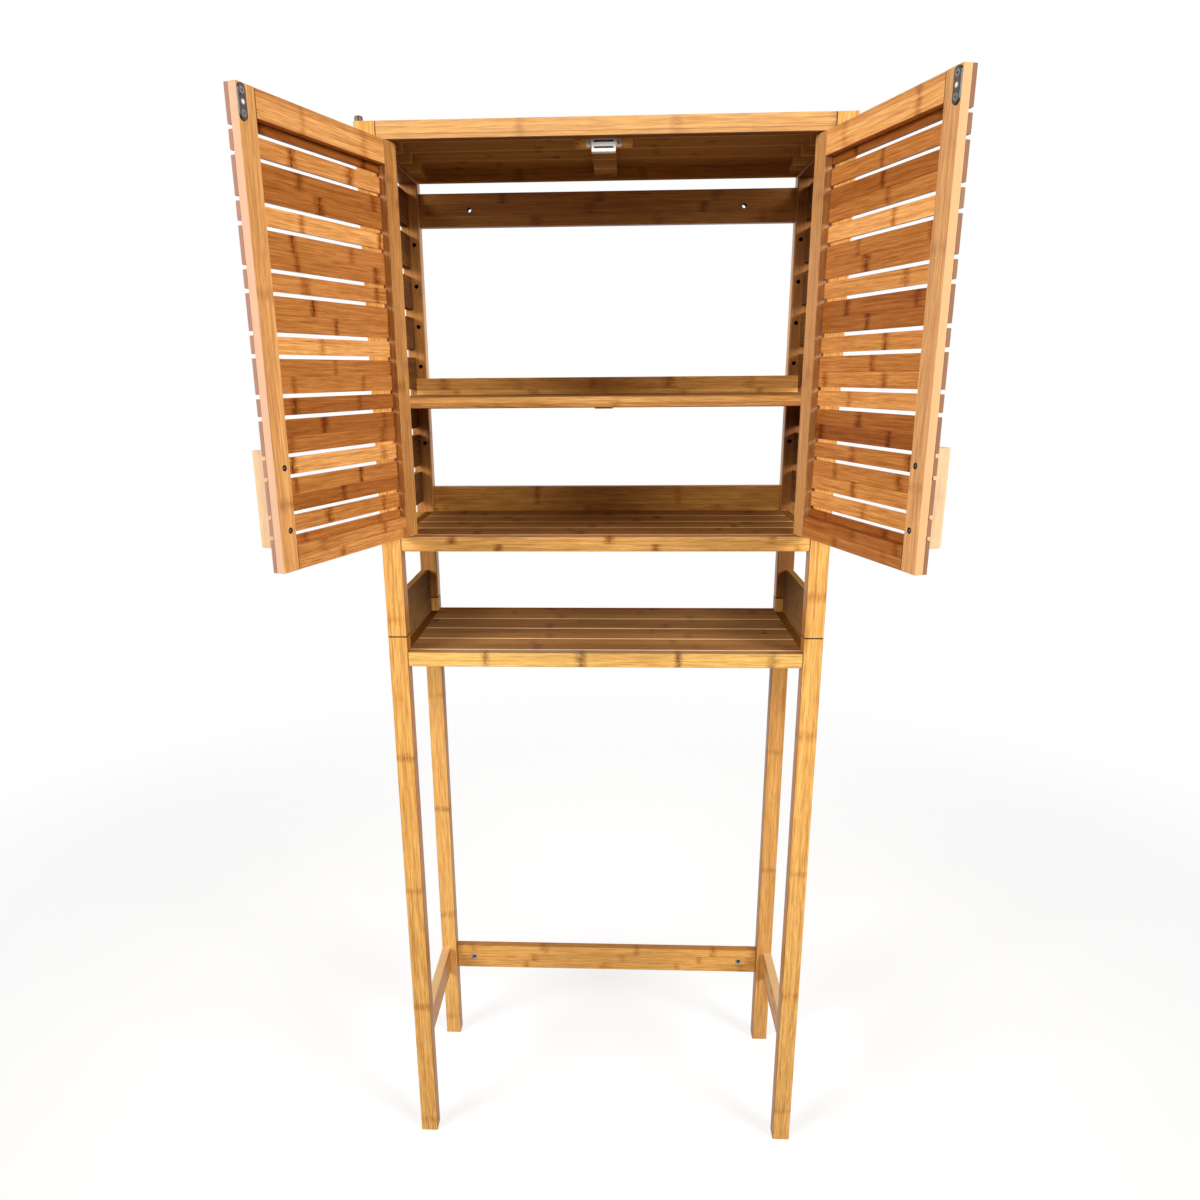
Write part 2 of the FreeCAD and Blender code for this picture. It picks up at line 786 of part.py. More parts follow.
def doors():
    """The two doors and what they turn on."""
    for name, side in sides.items():
        door(name, side)
    export("door_pivot_pins", *pivot_pins())
    export("door_pivot_washers", *both_sides(pivot_washer))


os.makedirs("parts", exist_ok=True)
uprights()
top_deck()
cabinet_floor()
lower_shelf()
stretchers()
cabinet_sides()
shelf()
doors()
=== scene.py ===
import bpy
import math
from mathutils import Matrix, Vector

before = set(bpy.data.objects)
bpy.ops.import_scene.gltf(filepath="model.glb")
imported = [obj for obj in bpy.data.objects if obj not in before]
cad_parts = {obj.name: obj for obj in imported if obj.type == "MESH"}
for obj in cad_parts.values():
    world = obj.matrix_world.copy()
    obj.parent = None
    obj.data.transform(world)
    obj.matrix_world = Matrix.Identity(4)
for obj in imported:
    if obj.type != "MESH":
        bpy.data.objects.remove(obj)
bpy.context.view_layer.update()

# All places and sizes are in metres, in the cabinet's own frame
X, Y, Z = range(3)
ZERO = (0.0, 0.0, 0.0)
SQUARE = math.pi / 2

# How the grain lies: flat along X or Y, standing on edge along X or Y, or upright
GRAIN_X = (0.0, 0.0, 0.0)
GRAIN_Y = (0.0, 0.0, SQUARE)
EDGE_X = (SQUARE, 0.0, 0.0)
EDGE_Y = (SQUARE, 0.0, SQUARE)
GRAIN_Z = (0.0, -SQUARE, 0.0)

# Posts and legs: where they stand, their inner faces, where painted shade ends on the inner faces and the
# rear posts' fronts, and the joint between them
POST_ASIDE = 0.3155
POST_DEPTHS = (0.0125, 0.2635)
POST_STRIP = 0.04
POST_INNER = 0.301
INNER_SHADE_EDGE = POST_INNER + 0.0006
REAR_SHADE_EDGE = 0.257
MID_DEPTH = 0.138
LEG_JOINT = 0.9325
FIRST_KNUCKLES = {"front": (0.82, 0.78), "rear": (0.70, 0.66)}

# Pin holes in the posts: the top one's place, the step down to the next, how many steps, and their bottoms
PIN_HOLES = (0.31, 1.52)
PIN_HOLE_PITCH = 0.063
PIN_HOLE_LAST = 5.0
PIN_HOLE_BOTTOM = 0.1255

# Wall holes in the upper back rail and barrel nuts in the back stretcher, by X and Z
WALL_HOLES = (0.22, 1.572)
NUTS = (0.2665, 0.178)

# Decks: the middle of the first gap, and the distance from gap to gap
DECK_FRONT = 0.017
DECK_PITCH = 0.0605
SHELF_FRONT = 0.041
SHELF_PITCH = 0.049

# Where the faces and glued strips of boards begin; at most of them the tone steps to painted shade on
# undersides, rail tops and inner faces, or to painted light on a top face
TOP_RAIL_SHADE_AND_STRIPS = (1.6178, 1.6228, 1.6238)
TOP_SIDE_RAIL_TOP = 1.634
TOP_SLAT_TOP = 1.6345
FLOOR_RAIL_TOP = 1.0868
LOWER_RAIL_TOP = 0.9073
LOWER_REAR_RAIL_TOP = 0.9070
STRETCHER_TOP = 0.203
STRETCHER_SHADE_EDGE = STRETCHER_TOP - 0.0006
SHELF_EDGE_SHADE_AND_STRIPS = (1.2714, 1.2777)
SHELF_LIP_TOP = 1.2926
SIDE_RAIL_FACE = 0.3145
SIDE_BOARD_FACE = 0.319
SIDE_SLAT_FACE = 0.321

# Doors: pivots and angles, then places along the door from its pivot and heights on it
LEFT_PIVOT = (-0.2892, 0.009, 0.0)
RIGHT_PIVOT = (0.2892, 0.009, 0.0)
LEFT_OPEN = math.radians(-110)
RIGHT_OPEN = math.radians(107)
DOOR_WIDTH = 0.2877
DOOR_TOP = 1.6155
DOOR_BOTTOM = 1.089
MID_DOOR = (DOOR_TOP + DOOR_BOTTOM) / 2
DOOR_RAIL_ENDS = (0.0182, 0.2597)
DOOR_RAIL_LAYER = DOOR_TOP - 0.0085
DOOR_RAIL_STRIP = 0.0301
FIRST_SLAT = 0.043
DOOR_SLAT_PITCH = 0.0695
DOOR_STRIP = DOOR_SLAT_PITCH / 3
STILE_STRIP = (0.05, 0.05)
STILE_SEAM = 0.2732
HANDLE_REACH = 0.2692
HANDLE_SCREWS = (1.13875, 1.21325)

# Strike plates: the middle, the screws above and below it, and the straight and round parts of the outline
STRIKE_PLACE = (0.28145, 0.0107, 1.5965)
STRIKE_SCREWS = 0.011
STRIKE_STRAIGHT = 0.0122
STRIKE_RADIUS = 0.0057

# Where the edge of a mark starts and ends, for marks with soft edges
LAYER_BLUR = 0.0003
JOINT_GROOVE = (0.0006, 0.0014)
RAIL_SEAM = (0.0016, 0.0004)
DOOR_SEAM = (0.0003, 0.0013)
FACE_EDGE = (0.0008, 0.0003)
SLAT_EDGE = (0.0014, 0.0034)
PIN_HOLE_RIM = (0.0031, 0.0036)
WALL_HOLE_RIM = (0.0037, 0.0042)
NUT_SOCKET_RIM = (0.0027, 0.0033)
HANDLE_SCREW_RIM = (0.0010, 0.0020)
STRIKE_SCREW_RIM = (0.0032, 0.0040)
STRIKE_RIM = (0.0008, 0.0002)
# The strike plate's bright middle is partly wear where the catch rubs and partly a painted glint
STRIKE_RUB_AND_GLINT = (0.0012, 0.0034)

# How strong marks are
RAIL_SEAM_STRENGTH = 0.7
DOOR_SEAM_STRENGTH = 0.6
SLAT_EDGE_STRENGTH = 0.75
FACE_STRENGTH = 0.9
NUT_SOCKET_STRENGTH = 0.95
STRIKE_SCREW_STRENGTH = 0.5
STRIKE_RIM_STRENGTH = 0.85

# How light the bamboo is where the two sides of the cabinet differ, partly the bamboo's own tone and partly
# painted light and shade, with the rear posts' values being painted shade on their fronts; a free stile has
# an outer strip, an inner strip and an amount of bleach, and a hinge stile has its bleach alone
REAR_LEGS = {"left": 0.68, "right": 0.63}
REAR_POST_SHADES = {"left": 0.36, "right": 0.27}
BOTTOM_RAILS = {"left": 0.75, "right": 0.39}
FREE_STILES = {"left": (0.585, 0.645, 0.05), "right": (0.70, 0.68, 0.12)}
HINGE_STILES = {"left": 0.03, "right": 0.08}

# How light a slat's bamboo is, and the strips of the doors' slats from the top down: a wide slat has two
SLAT_TONES = {
    "dark": 0.28, "toffee": 0.35, "caramel": 0.41, "amber": 0.475, "honey": 0.55, "straw": 0.63, "pale": 0.74
}
LEFT_DOOR_STRIPS = """
    toffee dark straw caramel caramel pale amber amber honey amber amber pale
    amber amber toffee toffee caramel pale amber toffee honey caramel toffee
""".split()
RIGHT_DOOR_STRIPS = """
    toffee dark amber toffee amber pale amber amber straw toffee toffee honey
    amber honey straw toffee dark amber amber honey straw dark toffee
""".split()

# Bamboo colours from scorched to pale
BAMBOO_COLOURS = (
    (0.00, (0.020, 0.004, 0.001)),
    (0.12, (0.120, 0.023, 0.003)),
    (0.26, (0.260, 0.073, 0.012)),
    (0.40, (0.400, 0.137, 0.029)),
    (0.55, (0.550, 0.220, 0.055)),
    (0.70, (0.700, 0.316, 0.092)),
    (0.85, (0.850, 0.422, 0.136)),
    (1.00, (0.960, 0.540, 0.200)),
)
GOLDEN = (1.0, 0.60, 0.14)
GOLDEN_DEPTH = (1.2, 1.5)
BLEACHED = (0.94, 0.80, 0.58)

# Colours of marks on the bamboo: painted highlights on slat edges, sawn ends and free edges tinted with
# painted pink light, painted light on board tops, and dark seams and painted shade in holes
SLAT_EDGE_HIGHLIGHT = (0.85, 0.56, 0.28)
# Sawn slat ends and free stile edges: partly their own tone and partly painted pink light, pinker on the left
# door
SLAT_ENDS_AND_PINK_LIGHT = {"left": (0.42, 0.24, 0.185), "right": (0.33, 0.18, 0.115)}
STILE_EDGES_AND_PINK_LIGHT = {"left": (0.76, 0.475, 0.32), "right": (0.82, 0.50, 0.25)}
PAINTED_TOP_LIGHT = (0.85, 0.55, 0.27)
SEAMS_AND_HOLE_SHADE = (0.035, 0.013, 0.004)

# Colours of the fittings
PLATED = (0.52, 0.50, 0.47)
BLACKENED = (0.035, 0.035, 0.035)
DARK_SCREW = (0.05, 0.045, 0.04)
DARK_PLATE = (0.14, 0.125, 0.115)
SCUFFED = (0.75, 0.73, 0.70)
SOCKET_SHADE = (0.02, 0.018, 0.016)
SCREW_PALE = (0.52, 0.47, 0.42)
STRIKE_SCREW_GREY = (0.45, 0.43, 0.40)
STRIKE_RIM_DARK = (0.025, 0.022, 0.02)
STRIKE_WEAR_AND_GLINT = (0.92, 0.90, 0.87)
WHITE_PLASTIC = (0.94, 0.94, 0.93)
NYLON = (0.78, 0.75, 0.66)
PLUG_BROWN = (0.10, 0.045, 0.022)

# Waves to the metre along, across and through the grain, for each pattern in the bamboo
FIBRE_SWAY = (7.0, 25.0, 25.0)
FIBRE_DASHES = (26.0, 620.0, 620.0)
FIBRE_STREAKS = (5.0, 240.0, 240.0)
TONE_DRIFT = (3.0, 9.0, 9.0)
HANDLED_PATCHES = (14.0, 26.0, 26.0)
KNUCKLE_WAVER = (40.0, 90.0, 90.0)
KNUCKLE_PATCHES = (90.0, 120.0, 120.0)
KNUCKLE_FLECKS = (330.0, 480.0, 480.0)

# How much each pattern does to the bamboo's tone, gloss and height
SWAY_REACH = 0.0015
DASH_SHARE = 1.35
STREAK_SHARE = 0.75
DRIFT_SHARE = 0.25
STRIP_SEAM = 0.0006
STRIP_SEAM_SHADE = -0.22
STRIP_SEAM_DEPTH = -0.5
KNUCKLE_DEPTH = -0.3
PLAIN_GLOSS = 0.40
FIBRE_GLOSS = 0.12
HANDLED_GLOSS = 0.25

# Knuckles: how far strips slide past each other and a knuckle strays, in spacings, and how far marks reach
KNUCKLE_SLIDE = 7.0
KNUCKLE_STRAY = 0.36
WAVER_REACH = 0.005
SMUDGE_REACH = 0.009
SMUDGE_RANGE = 0.007
DOT_REACH = (0.001, 0.0075)
LINE_REACH = (0.0006, 0.0032)

# Waves to the metre in the steel's scratches and the plastic's moulding grain
SCRATCHES = (900.0, 900.0, 9000.0)
MOULDING_GRAIN = (2600.0, 2600.0, 2600.0)

# The viewpoint, the lamps and the floor; the lamps stand on both sides
VIEW_PLACE = (0.01869, -1.30313, 1.31887)
VIEW_YAW = -0.0442
VIEW_PITCH = 0.2773
VIEW_ROLL = -0.00853
LAMP_TARGET = (0.0, 0.1, 1.3)
LAMP_SIZE = (2.2, 2.0)
LAMP_SPREAD = math.radians(60.0)
LAMP_WHITE = (1.0, 0.98, 0.95)
FRONT_LAMPS = (3.5, -2.6, 2.7)
FRONT_POWER = 32.0
BACK_LAMPS = (1.2, 4.6, 1.5)
BACK_POWER = 14.0
SKY_LIGHT = 0.10
FLOOR_SIZE = 9.0
FLOOR_GREY = (0.40, 0.40, 0.40, 1.0)
FLOOR_GLOW = 0.71
FLOOR_FADE = (0.9, 2.6)
WHITE = (1.0, 1.0, 1.0, 1.0)


def add(tree, kind, **settings):
    """A node in a tree, with its settings."""
    made = tree.nodes.new(kind)
    for name, value in settings.items():
        setattr(made, name, value)
    return made


def feed(tree, socket, value):
    """Links a socket to another one, or sets it to a number, colour or vector."""
    if isinstance(value, bpy.types.NodeSocket):
        tree.links.new(value, socket)
    else:
        socket.default_value = value


def calc(tree, operation, first, second=0.0, third=0.0):
    """One step of arithmetic on sockets or numbers."""
    made = add(tree, "ShaderNodeMath", operation=operation)
    for socket, value in zip(made.inputs, (first, second, third)):
        feed(tree, socket, value)
    return made.outputs[0]


def fade(tree, value, start, end, low, high, shape="SMOOTHSTEP"):
    """A step from one value to another, smooth or straight."""
    made = add(tree, "ShaderNodeMapRange", interpolation_type=shape)
    for socket, given in zip(made.inputs, (value, start, end, low, high)):
        feed(tree, socket, given)
    return made.outputs[0]


def vector_step(tree, operation, first, second):
    """One step of arithmetic on vectors."""
    made = add(tree, "ShaderNodeVectorMath", operation=operation)
    feed(tree, made.inputs[0], first)
    feed(tree, made.inputs[1], second)
    return made.outputs["Value" if operation == "DISTANCE" else "Vector"]


def clouds(tree, place, scale, shift=None, detail=2.0, roughness=0.5):
    """Smooth noise around zero, with its own scale along each axis."""
    made = add(tree, "ShaderNodeTexNoise", noise_dimensions="3D")
    scaled = vector_step(tree, "MULTIPLY", place, scale)
    if shift is not None:
        scaled = vector_step(tree, "ADD", scaled, shift)
    feed(tree, made.inputs["Vector"], scaled)
    made.inputs["Scale"].default_value = 1.0
    made.inputs["Detail"].default_value = detail
    made.inputs["Roughness"].default_value = roughness
    return calc(tree, "SUBTRACT", made.outputs["Fac"], 0.5)


def joined(tree, x, y, z):
    """Three values as one vector."""
    made = add(tree, "ShaderNodeCombineXYZ")
    for socket, value in zip(made.inputs, (x, y, z)):
        feed(tree, socket, value)
    return made.outputs[0]


def split(tree, vector):
    """The three values of a vector."""
    made = add(tree, "ShaderNodeSeparateXYZ")
    feed(tree, made.inputs[0], vector)
    return made.outputs


def length_of(tree, x, y):
    """The length of a flat vector."""
    return vector_step(tree, "DISTANCE", joined(tree, x, y, 0.0), ZERO)


def dice(tree, x, y, z):
    """Three random values that stay the same all over one cell."""
    made = add(tree, "ShaderNodeTexWhiteNoise", noise_dimensions="3D")
    feed(tree, made.inputs["Vector"], joined(tree, x, y, z))
    return split(tree, made.outputs["Color"])


def ramp(tree, value, stops, smooth=True):
    """A colour read from a row of stops."""
    made = add(tree, "ShaderNodeValToRGB")
    feed(tree, made.inputs[0], value)
    made.color_ramp.interpolation = "LINEAR" if smooth else "CONSTANT"
    row = made.color_ramp.elements
    while len(row) < len(stops):
        row.new(1.0)
    for stop, (place, colour) in zip(row, stops):
        stop.position = place
        stop.color = (*colour, 1.0)
    return made.outputs["Color"]


def blended(tree, amount, first, second):
    """A mix of two colours."""
    made = add(tree, "ShaderNodeMix", data_type="RGBA")
    feed(tree, made.inputs[0], amount)
    for socket, value in zip((made.inputs[6], made.inputs[7]), (first, second)):
        feed(tree, socket, value if isinstance(value, bpy.types.NodeSocket) else (*value, 1.0))
    return made.outputs[2]


def new_group(name, takes, gives):
    """An empty shader group with named inputs and outputs."""
    tree = bpy.data.node_groups.new(name, "ShaderNodeTree")
    for label, kind, value in takes:
        socket = tree.interface.new_socket(name=label, in_out="INPUT", socket_type=kind)
        if value is not None:
            socket.default_value = value
    for label, kind in gives:
        tree.interface.new_socket(name=label, in_out="OUTPUT", socket_type=kind)
    start = add(tree, "NodeGroupInput")
    end = add(tree, "NodeGroupOutput")
    return tree, start.outputs, end.inputs


def knuckle_marks(tree, place, given, row, layer, slide, offset):
    """Where the stalk's knuckles cross a strip: a smudge, dots and a broken dark line."""
    along = split(tree, place)[X]
    spacing = given["Knuckle Spacing"]
    stagger = given["Stagger"]
    turns = calc(tree, "DIVIDE", along, spacing)
    turns = calc(tree, "MULTIPLY_ADD", calc(tree, "MULTIPLY", slide, stagger), KNUCKLE_SLIDE, turns)
    nearest = calc(tree, "ROUND", turns)
    which = calc(tree, "MULTIPLY_ADD", row, 17.0, nearest)
    force, nudge, width = dice(tree, which, layer, given["Seed"])
    nudge = calc(tree, "MULTIPLY_ADD", nudge, KNUCKLE_STRAY, -KNUCKLE_STRAY / 2)
    nudge = calc(tree, "MULTIPLY", nudge, stagger)
    gap = calc(tree, "ADD", calc(tree, "SUBTRACT", turns, nearest), nudge)
    gap = calc(tree, "MULTIPLY", gap, spacing)
    waver = clouds(tree, place, KNUCKLE_WAVER, offset)
    gap = calc(tree, "ABSOLUTE", calc(tree, "MULTIPLY_ADD", waver, WAVER_REACH, gap))
    patches = fade(tree, clouds(tree, place, KNUCKLE_PATCHES, offset), -0.22, 0.18, 0.25, 1.0)
    flecks = fade(tree, clouds(tree, place, KNUCKLE_FLECKS, offset, 2.0, 0.6), -0.06, 0.14, 0.0, 1.0)
    reach = calc(tree, "MULTIPLY_ADD", width, SMUDGE_RANGE, SMUDGE_REACH)
    smudge = calc(tree, "MULTIPLY", fade(tree, gap, 0.0, reach, 0.72, 0.0), patches)
    dots = calc(tree, "MULTIPLY", fade(tree, gap, *DOT_REACH, 0.75, 0.0), flecks)
    line = fade(tree, gap, *LINE_REACH, 1.0, 0.0)
    line = calc(tree, "MULTIPLY", line, calc(tree, "MULTIPLY_ADD", flecks, 0.65, 0.35))
    line = calc(tree, "MULTIPLY", line, given["Knuckle Line"])
    marks = calc(tree, "MAXIMUM", calc(tree, "MAXIMUM", smudge, dots), line)
    return calc(tree, "MULTIPLY", marks, calc(tree, "MULTIPLY_ADD", force, 0.6, 0.4))


def bamboo_group():
    """Laminated bamboo, its grain along X: strips of their own tone, fibres, knuckles, varnish."""
    takes = (
        ("Place", "NodeSocketVector", None),
        ("Level", "NodeSocketFloat", 0.7),
        ("Strip Width", "NodeSocketFloat", 0.02),
        ("Strip Depth", "NodeSocketFloat", 0.01),
        ("Strip Contrast", "NodeSocketFloat", 0.2),
        ("Knuckle Spacing", "NodeSocketFloat", 0.24),
        ("Knuckle Strength", "NodeSocketFloat", 0.8),
        ("Knuckle Line", "NodeSocketFloat", 0.5),
        ("Stagger", "NodeSocketFloat", 1.0),
        ("Golden", "NodeSocketFloat", 0.0),
        ("Bleach", "NodeSocketFloat", 0.0),
        ("Seed", "NodeSocketFloat", 0.0),
    )
    gives = (
        ("Colour", "NodeSocketColor"),
        ("Gloss", "NodeSocketFloat"),
        ("Height", "NodeSocketFloat"),
    )
    tree, given, result = new_group("varnished_bamboo", takes, gives)
    place = given["Place"]
    across, deep = split(tree, place)[Y:]
    row_run = calc(tree, "DIVIDE", across, given["Strip Width"])
    row = calc(tree, "FLOOR", row_run)
    layer = calc(tree, "FLOOR", calc(tree, "DIVIDE", deep, given["Strip Depth"]))
    shade, slide, other = dice(tree, row, layer, given["Seed"])
    offset = joined(tree, calc(tree, "MULTIPLY", slide, 37.0), calc(tree, "MULTIPLY", shade, 11.0), other)

    sway = calc(tree, "MULTIPLY", clouds(tree, place, FIBRE_SWAY, offset, 1.0), SWAY_REACH)
    bent = vector_step(tree, "ADD", place, joined(tree, 0.0, sway, 0.0))
    dashes = clouds(tree, bent, FIBRE_DASHES, offset, 3.0, 0.65)
    streaks = clouds(tree, bent, FIBRE_STREAKS, offset, 2.0, 0.6)
    drift = clouds(tree, place, TONE_DRIFT, offset, 1.0)
    fibre = calc(tree, "MULTIPLY_ADD", dashes, DASH_SHARE, calc(tree, "MULTIPLY", streaks, STREAK_SHARE))
    fibre = calc(tree, "MULTIPLY_ADD", drift, DRIFT_SHARE, fibre)

    knuckle = knuckle_marks(tree, place, given, row, layer, slide, offset)
    edge = calc(tree, "ABSOLUTE", calc(tree, "SUBTRACT", calc(tree, "FRACT", row_run), 0.5))
    thin = calc(tree, "SUBTRACT", 0.5, calc(tree, "DIVIDE", STRIP_SEAM, given["Strip Width"]))
    seam = fade(tree, edge, thin, 0.5, 0.0, 1.0)

    spread = calc(tree, "MULTIPLY", calc(tree, "MULTIPLY_ADD", shade, 2.0, -1.0), given["Strip Contrast"])
    tone = calc(tree, "ADD", calc(tree, "ADD", spread, fibre), 1.0)
    tone = calc(tree, "MULTIPLY", tone, given["Level"])
    dark = calc(tree, "MULTIPLY", knuckle, given["Knuckle Strength"])
    tone = calc(tree, "MULTIPLY", tone, calc(tree, "MULTIPLY_ADD", dark, -1.0, 1.0))
    tone = calc(tree, "MULTIPLY", tone, calc(tree, "MULTIPLY_ADD", seam, STRIP_SEAM_SHADE, 1.0))
    colour = ramp(tree, tone, BAMBOO_COLOURS)
    green, blue = [calc(tree, "POWER", tone, depth) for depth in GOLDEN_DEPTH]
    gold = vector_step(tree, "MULTIPLY", joined(tree, tone, green, blue), GOLDEN)
    colour = blended(tree, given["Golden"], colour, gold)
    tree.links.new(blended(tree, given["Bleach"], colour, BLEACHED), result["Colour"])

    gloss = calc(tree, "MULTIPLY_ADD", fibre, FIBRE_GLOSS, PLAIN_GLOSS)
    handled = clouds(tree, place, HANDLED_PATCHES, None, 3.0, 0.6)
    tree.links.new(calc(tree, "MULTIPLY_ADD", handled, HANDLED_GLOSS, gloss), result["Gloss"])
    height = calc(tree, "MULTIPLY_ADD", seam, STRIP_SEAM_DEPTH, fibre)
    tree.links.new(calc(tree, "MULTIPLY_ADD", knuckle, KNUCKLE_DEPTH, height), result["Height"])
    return tree


def wear_group():
    """Handling marks: soft cloudy dulling and small scuffs."""
    takes = (("Place", "NodeSocketVector", None), ("Size", "NodeSocketFloat", 30.0))
    gives = (("Dull", "NodeSocketFloat"), ("Scuff", "NodeSocketFloat"))
    tree, given, result = new_group("handling_wear", takes, gives)
    scaled = add(tree, "ShaderNodeVectorMath", operation="SCALE")
    tree.links.new(given["Place"], scaled.inputs[0])
    tree.links.new(given["Size"], scaled.inputs["Scale"])
    dull = clouds(tree, scaled.outputs[0], (1.0, 1.0, 1.0), None, 3.0, 0.6)
    specks = clouds(tree, scaled.outputs[0], (9.0, 9.0, 9.0), None, 3.0, 0.7)
    tree.links.new(fade(tree, dull, -0.25, 0.25, 0.0, 1.0), result["Dull"])
    tree.links.new(fade(tree, specks, 0.10, 0.22, 0.0, 1.0), result["Scuff"])
    return tree


BAMBOO = bamboo_group()
WEAR = wear_group()


def new_material(name):
    """A material with its shader ready to be fed."""
    material = bpy.data.materials.new(name)
    material.use_nodes = True
    tree = material.node_tree
    place = add(tree, "ShaderNodeTexCoord").outputs["Object"]
    return material, tree, tree.nodes["Principled BSDF"], place


def grouped(tree, group, **values):
    """A shared group placed in a material with its own values."""
    made = add(tree, "ShaderNodeGroup")
    made.node_tree = group
    for label, value in values.items():
        feed(tree, made.inputs[label.replace("_", " ")], value)
    return made.outputs


def bumped(tree, shader, height, distance, strength):
    """Feeds a height to the shader's normal."""
    bump = add(tree, "ShaderNodeBump")
    bump.inputs["Strength"].default_value = strength
    bump.inputs["Distance"].default_value = distance
    tree.links.new(height, bump.inputs["Height"])
    tree.links.new(bump.outputs["Normal"], shader.inputs["Normal"])


def grain_place(tree, place, turn, origin):
    """The pattern's own place: origin comes to zero, and X runs with the grain."""
    mapping = add(tree, "ShaderNodeMapping", vector_type="TEXTURE")
    tree.links.new(place, mapping.inputs["Vector"])
    mapping.inputs["Location"].default_value = origin
    mapping.inputs["Rotation"].default_value = turn
    return mapping.outputs[0]


def along_door(tree, place, pivot, angle):
    """The distance along an open door from its pivot."""
    turned = grain_place(tree, place, (SQUARE, 0.0, angle), pivot)
    return calc(tree, "ABSOLUTE", split(tree, turned)[X])


def slat_tones(names):
    """The tone of a door's slats, strip by strip from the top down."""
    height = DOOR_TOP - DOOR_BOTTOM
    first = FIRST_SLAT - 2 * DOOR_STRIP
    stops = []
    for count, name in enumerate(names):
        start = max(0.0, (first + count * DOOR_STRIP) / height) if count else 0.0
        stops.append((start, (SLAT_TONES[name],) * 3))

    def tone(tree, place):
        share = fade(tree, split(tree, place)[Z], DOOR_TOP, DOOR_BOTTOM, 0.0, 1.0, "LINEAR")
        return ramp(tree, share, stops, smooth=False)
    return tone


def stepped_tones(axis, first, *steps):
    """Tones that change at places along an axis: a board's glued strips, and painted shade on some of its
    faces.
    """
    def tone(tree, place):
        value = calc(tree, "ABSOLUTE", split(tree, place)[axis])
        made = first
        for edge, level in steps:
            made = fade(tree, value, edge - LAYER_BLUR, edge + LAYER_BLUR, made, level)
        return made
    return tone


def stile_tones(pivot, angle, outer, inner):
    """The tones of the two strips that a door's free stile is glued from."""
    def tone(tree, place):
        along = along_door(tree, place, pivot, angle)
        return fade(tree, along, STILE_SEAM - LAYER_BLUR, STILE_SEAM + LAYER_BLUR, inner, outer)
    return tone


def joint_line(tree, place, grain):
    """The dark groove where the posts stand on the legs."""
    height = calc(tree, "SUBTRACT", split(tree, place)[Z], LEG_JOINT)
    return fade(tree, calc(tree, "ABSOLUTE", height), *JOINT_GROOVE, 1.0, 0.0)


def post_marks(tree, place, grain):
    """The dark groove at a post's foot, and painted shade inside its pin holes."""
    x, y, z = split(tree, place)
    beside = calc(tree, "SUBTRACT", calc(tree, "ABSOLUTE", x), PIN_HOLES[0])
    steps = calc(tree, "DIVIDE", calc(tree, "SUBTRACT", PIN_HOLES[1], z), PIN_HOLE_PITCH)
    nearest = calc(tree, "MAXIMUM", calc(tree, "ROUND", steps), 0.0)
    nearest = calc(tree, "MINIMUM", nearest, PIN_HOLE_LAST)
    above = calc(tree, "MULTIPLY", calc(tree, "SUBTRACT", steps, nearest), PIN_HOLE_PITCH)
    holes = fade(tree, length_of(tree, beside, above), *PIN_HOLE_RIM, 1.0, 0.0)
    depth = calc(tree, "ABSOLUTE", calc(tree, "SUBTRACT", y, MID_DEPTH))
    holes = calc(tree, "MULTIPLY", holes, calc(tree, "LESS_THAN", depth, PIN_HOLE_BOTTOM))
    return calc(tree, "MAXIMUM", holes, joint_line(tree, place, grain))


def rail_ends(tree, place, grain):
    """The fine dark seam where a rail meets the posts."""
    beside = calc(tree, "ABSOLUTE", split(tree, place)[X])
    start, end = [POST_INNER - width for width in RAIL_SEAM]
    return fade(tree, beside, start, end, 0.0, RAIL_SEAM_STRENGTH)


def door_rail_ends(tree, place, grain):
    """The fine dark seams where a door's rails meet its stiles."""
    along = calc(tree, "ABSOLUTE", split(tree, grain)[X])
    inner, outer = DOOR_SEAM
    near, far = DOOR_RAIL_ENDS
    near = fade(tree, along, near + inner, near + outer, DOOR_SEAM_STRENGTH, 0.0)
    far = fade(tree, along, far - outer, far - inner, 0.0, DOOR_SEAM_STRENGTH)
    return calc(tree, "MAXIMUM", near, far)


def from_pair(tree, place, middle):
    """The distance, seen from the front, to the nearer of two points that lie alike on both sides."""
    x, _, z = split(tree, place)
    beside = calc(tree, "SUBTRACT", calc(tree, "ABSOLUTE", x), middle[0])
    return length_of(tree, beside, calc(tree, "SUBTRACT", z, middle[1]))


def upper_rail_marks(tree, place, grain):
    """Painted shade on the walls of the two wall holes in the upper back rail, and its seams."""
    holes = fade(tree, from_pair(tree, place, WALL_HOLES), *WALL_HOLE_RIM, 1.0, 0.0)
    return calc(tree, "MAXIMUM", holes, rail_ends(tree, place, grain))


def slat_edge_highlights(start, pitch):
    """A mask for painted highlights on the rounded edges along a deck's slats, from the middle of the first
    gap on.
    """
    def mask(tree, place, grain):
        turns = calc(tree, "DIVIDE", calc(tree, "SUBTRACT", split(tree, place)[Y], start), pitch)
        turns = calc(tree, "ABSOLUTE", calc(tree, "SUBTRACT", calc(tree, "FRACT", turns), 0.5))
        inward = calc(tree, "MULTIPLY_ADD", turns, -pitch, pitch / 2)
        return fade(tree, inward, *SLAT_EDGE, SLAT_EDGE_STRENGTH, 0.0)
    return mask


def outer_face(tree, value, face):
    """One on the face at the far end of a board, and nothing behind it."""
    start, end = [face - depth for depth in FACE_EDGE]
    return fade(tree, value, start, end, 0.0, FACE_STRENGTH)


def painted_light_top(height):
    """A mask for painted light on the top of a board."""
    def mask(tree, place, grain):
        return outer_face(tree, split(tree, place)[Z], height)
    return mask


def door_edge(axis):
    """A mask for the free edge of a door, along the axis of the grain that runs with the door."""
    def mask(tree, place, grain):
        return outer_face(tree, calc(tree, "ABSOLUTE", split(tree, grain)[axis]), DOOR_WIDTH)
    return mask


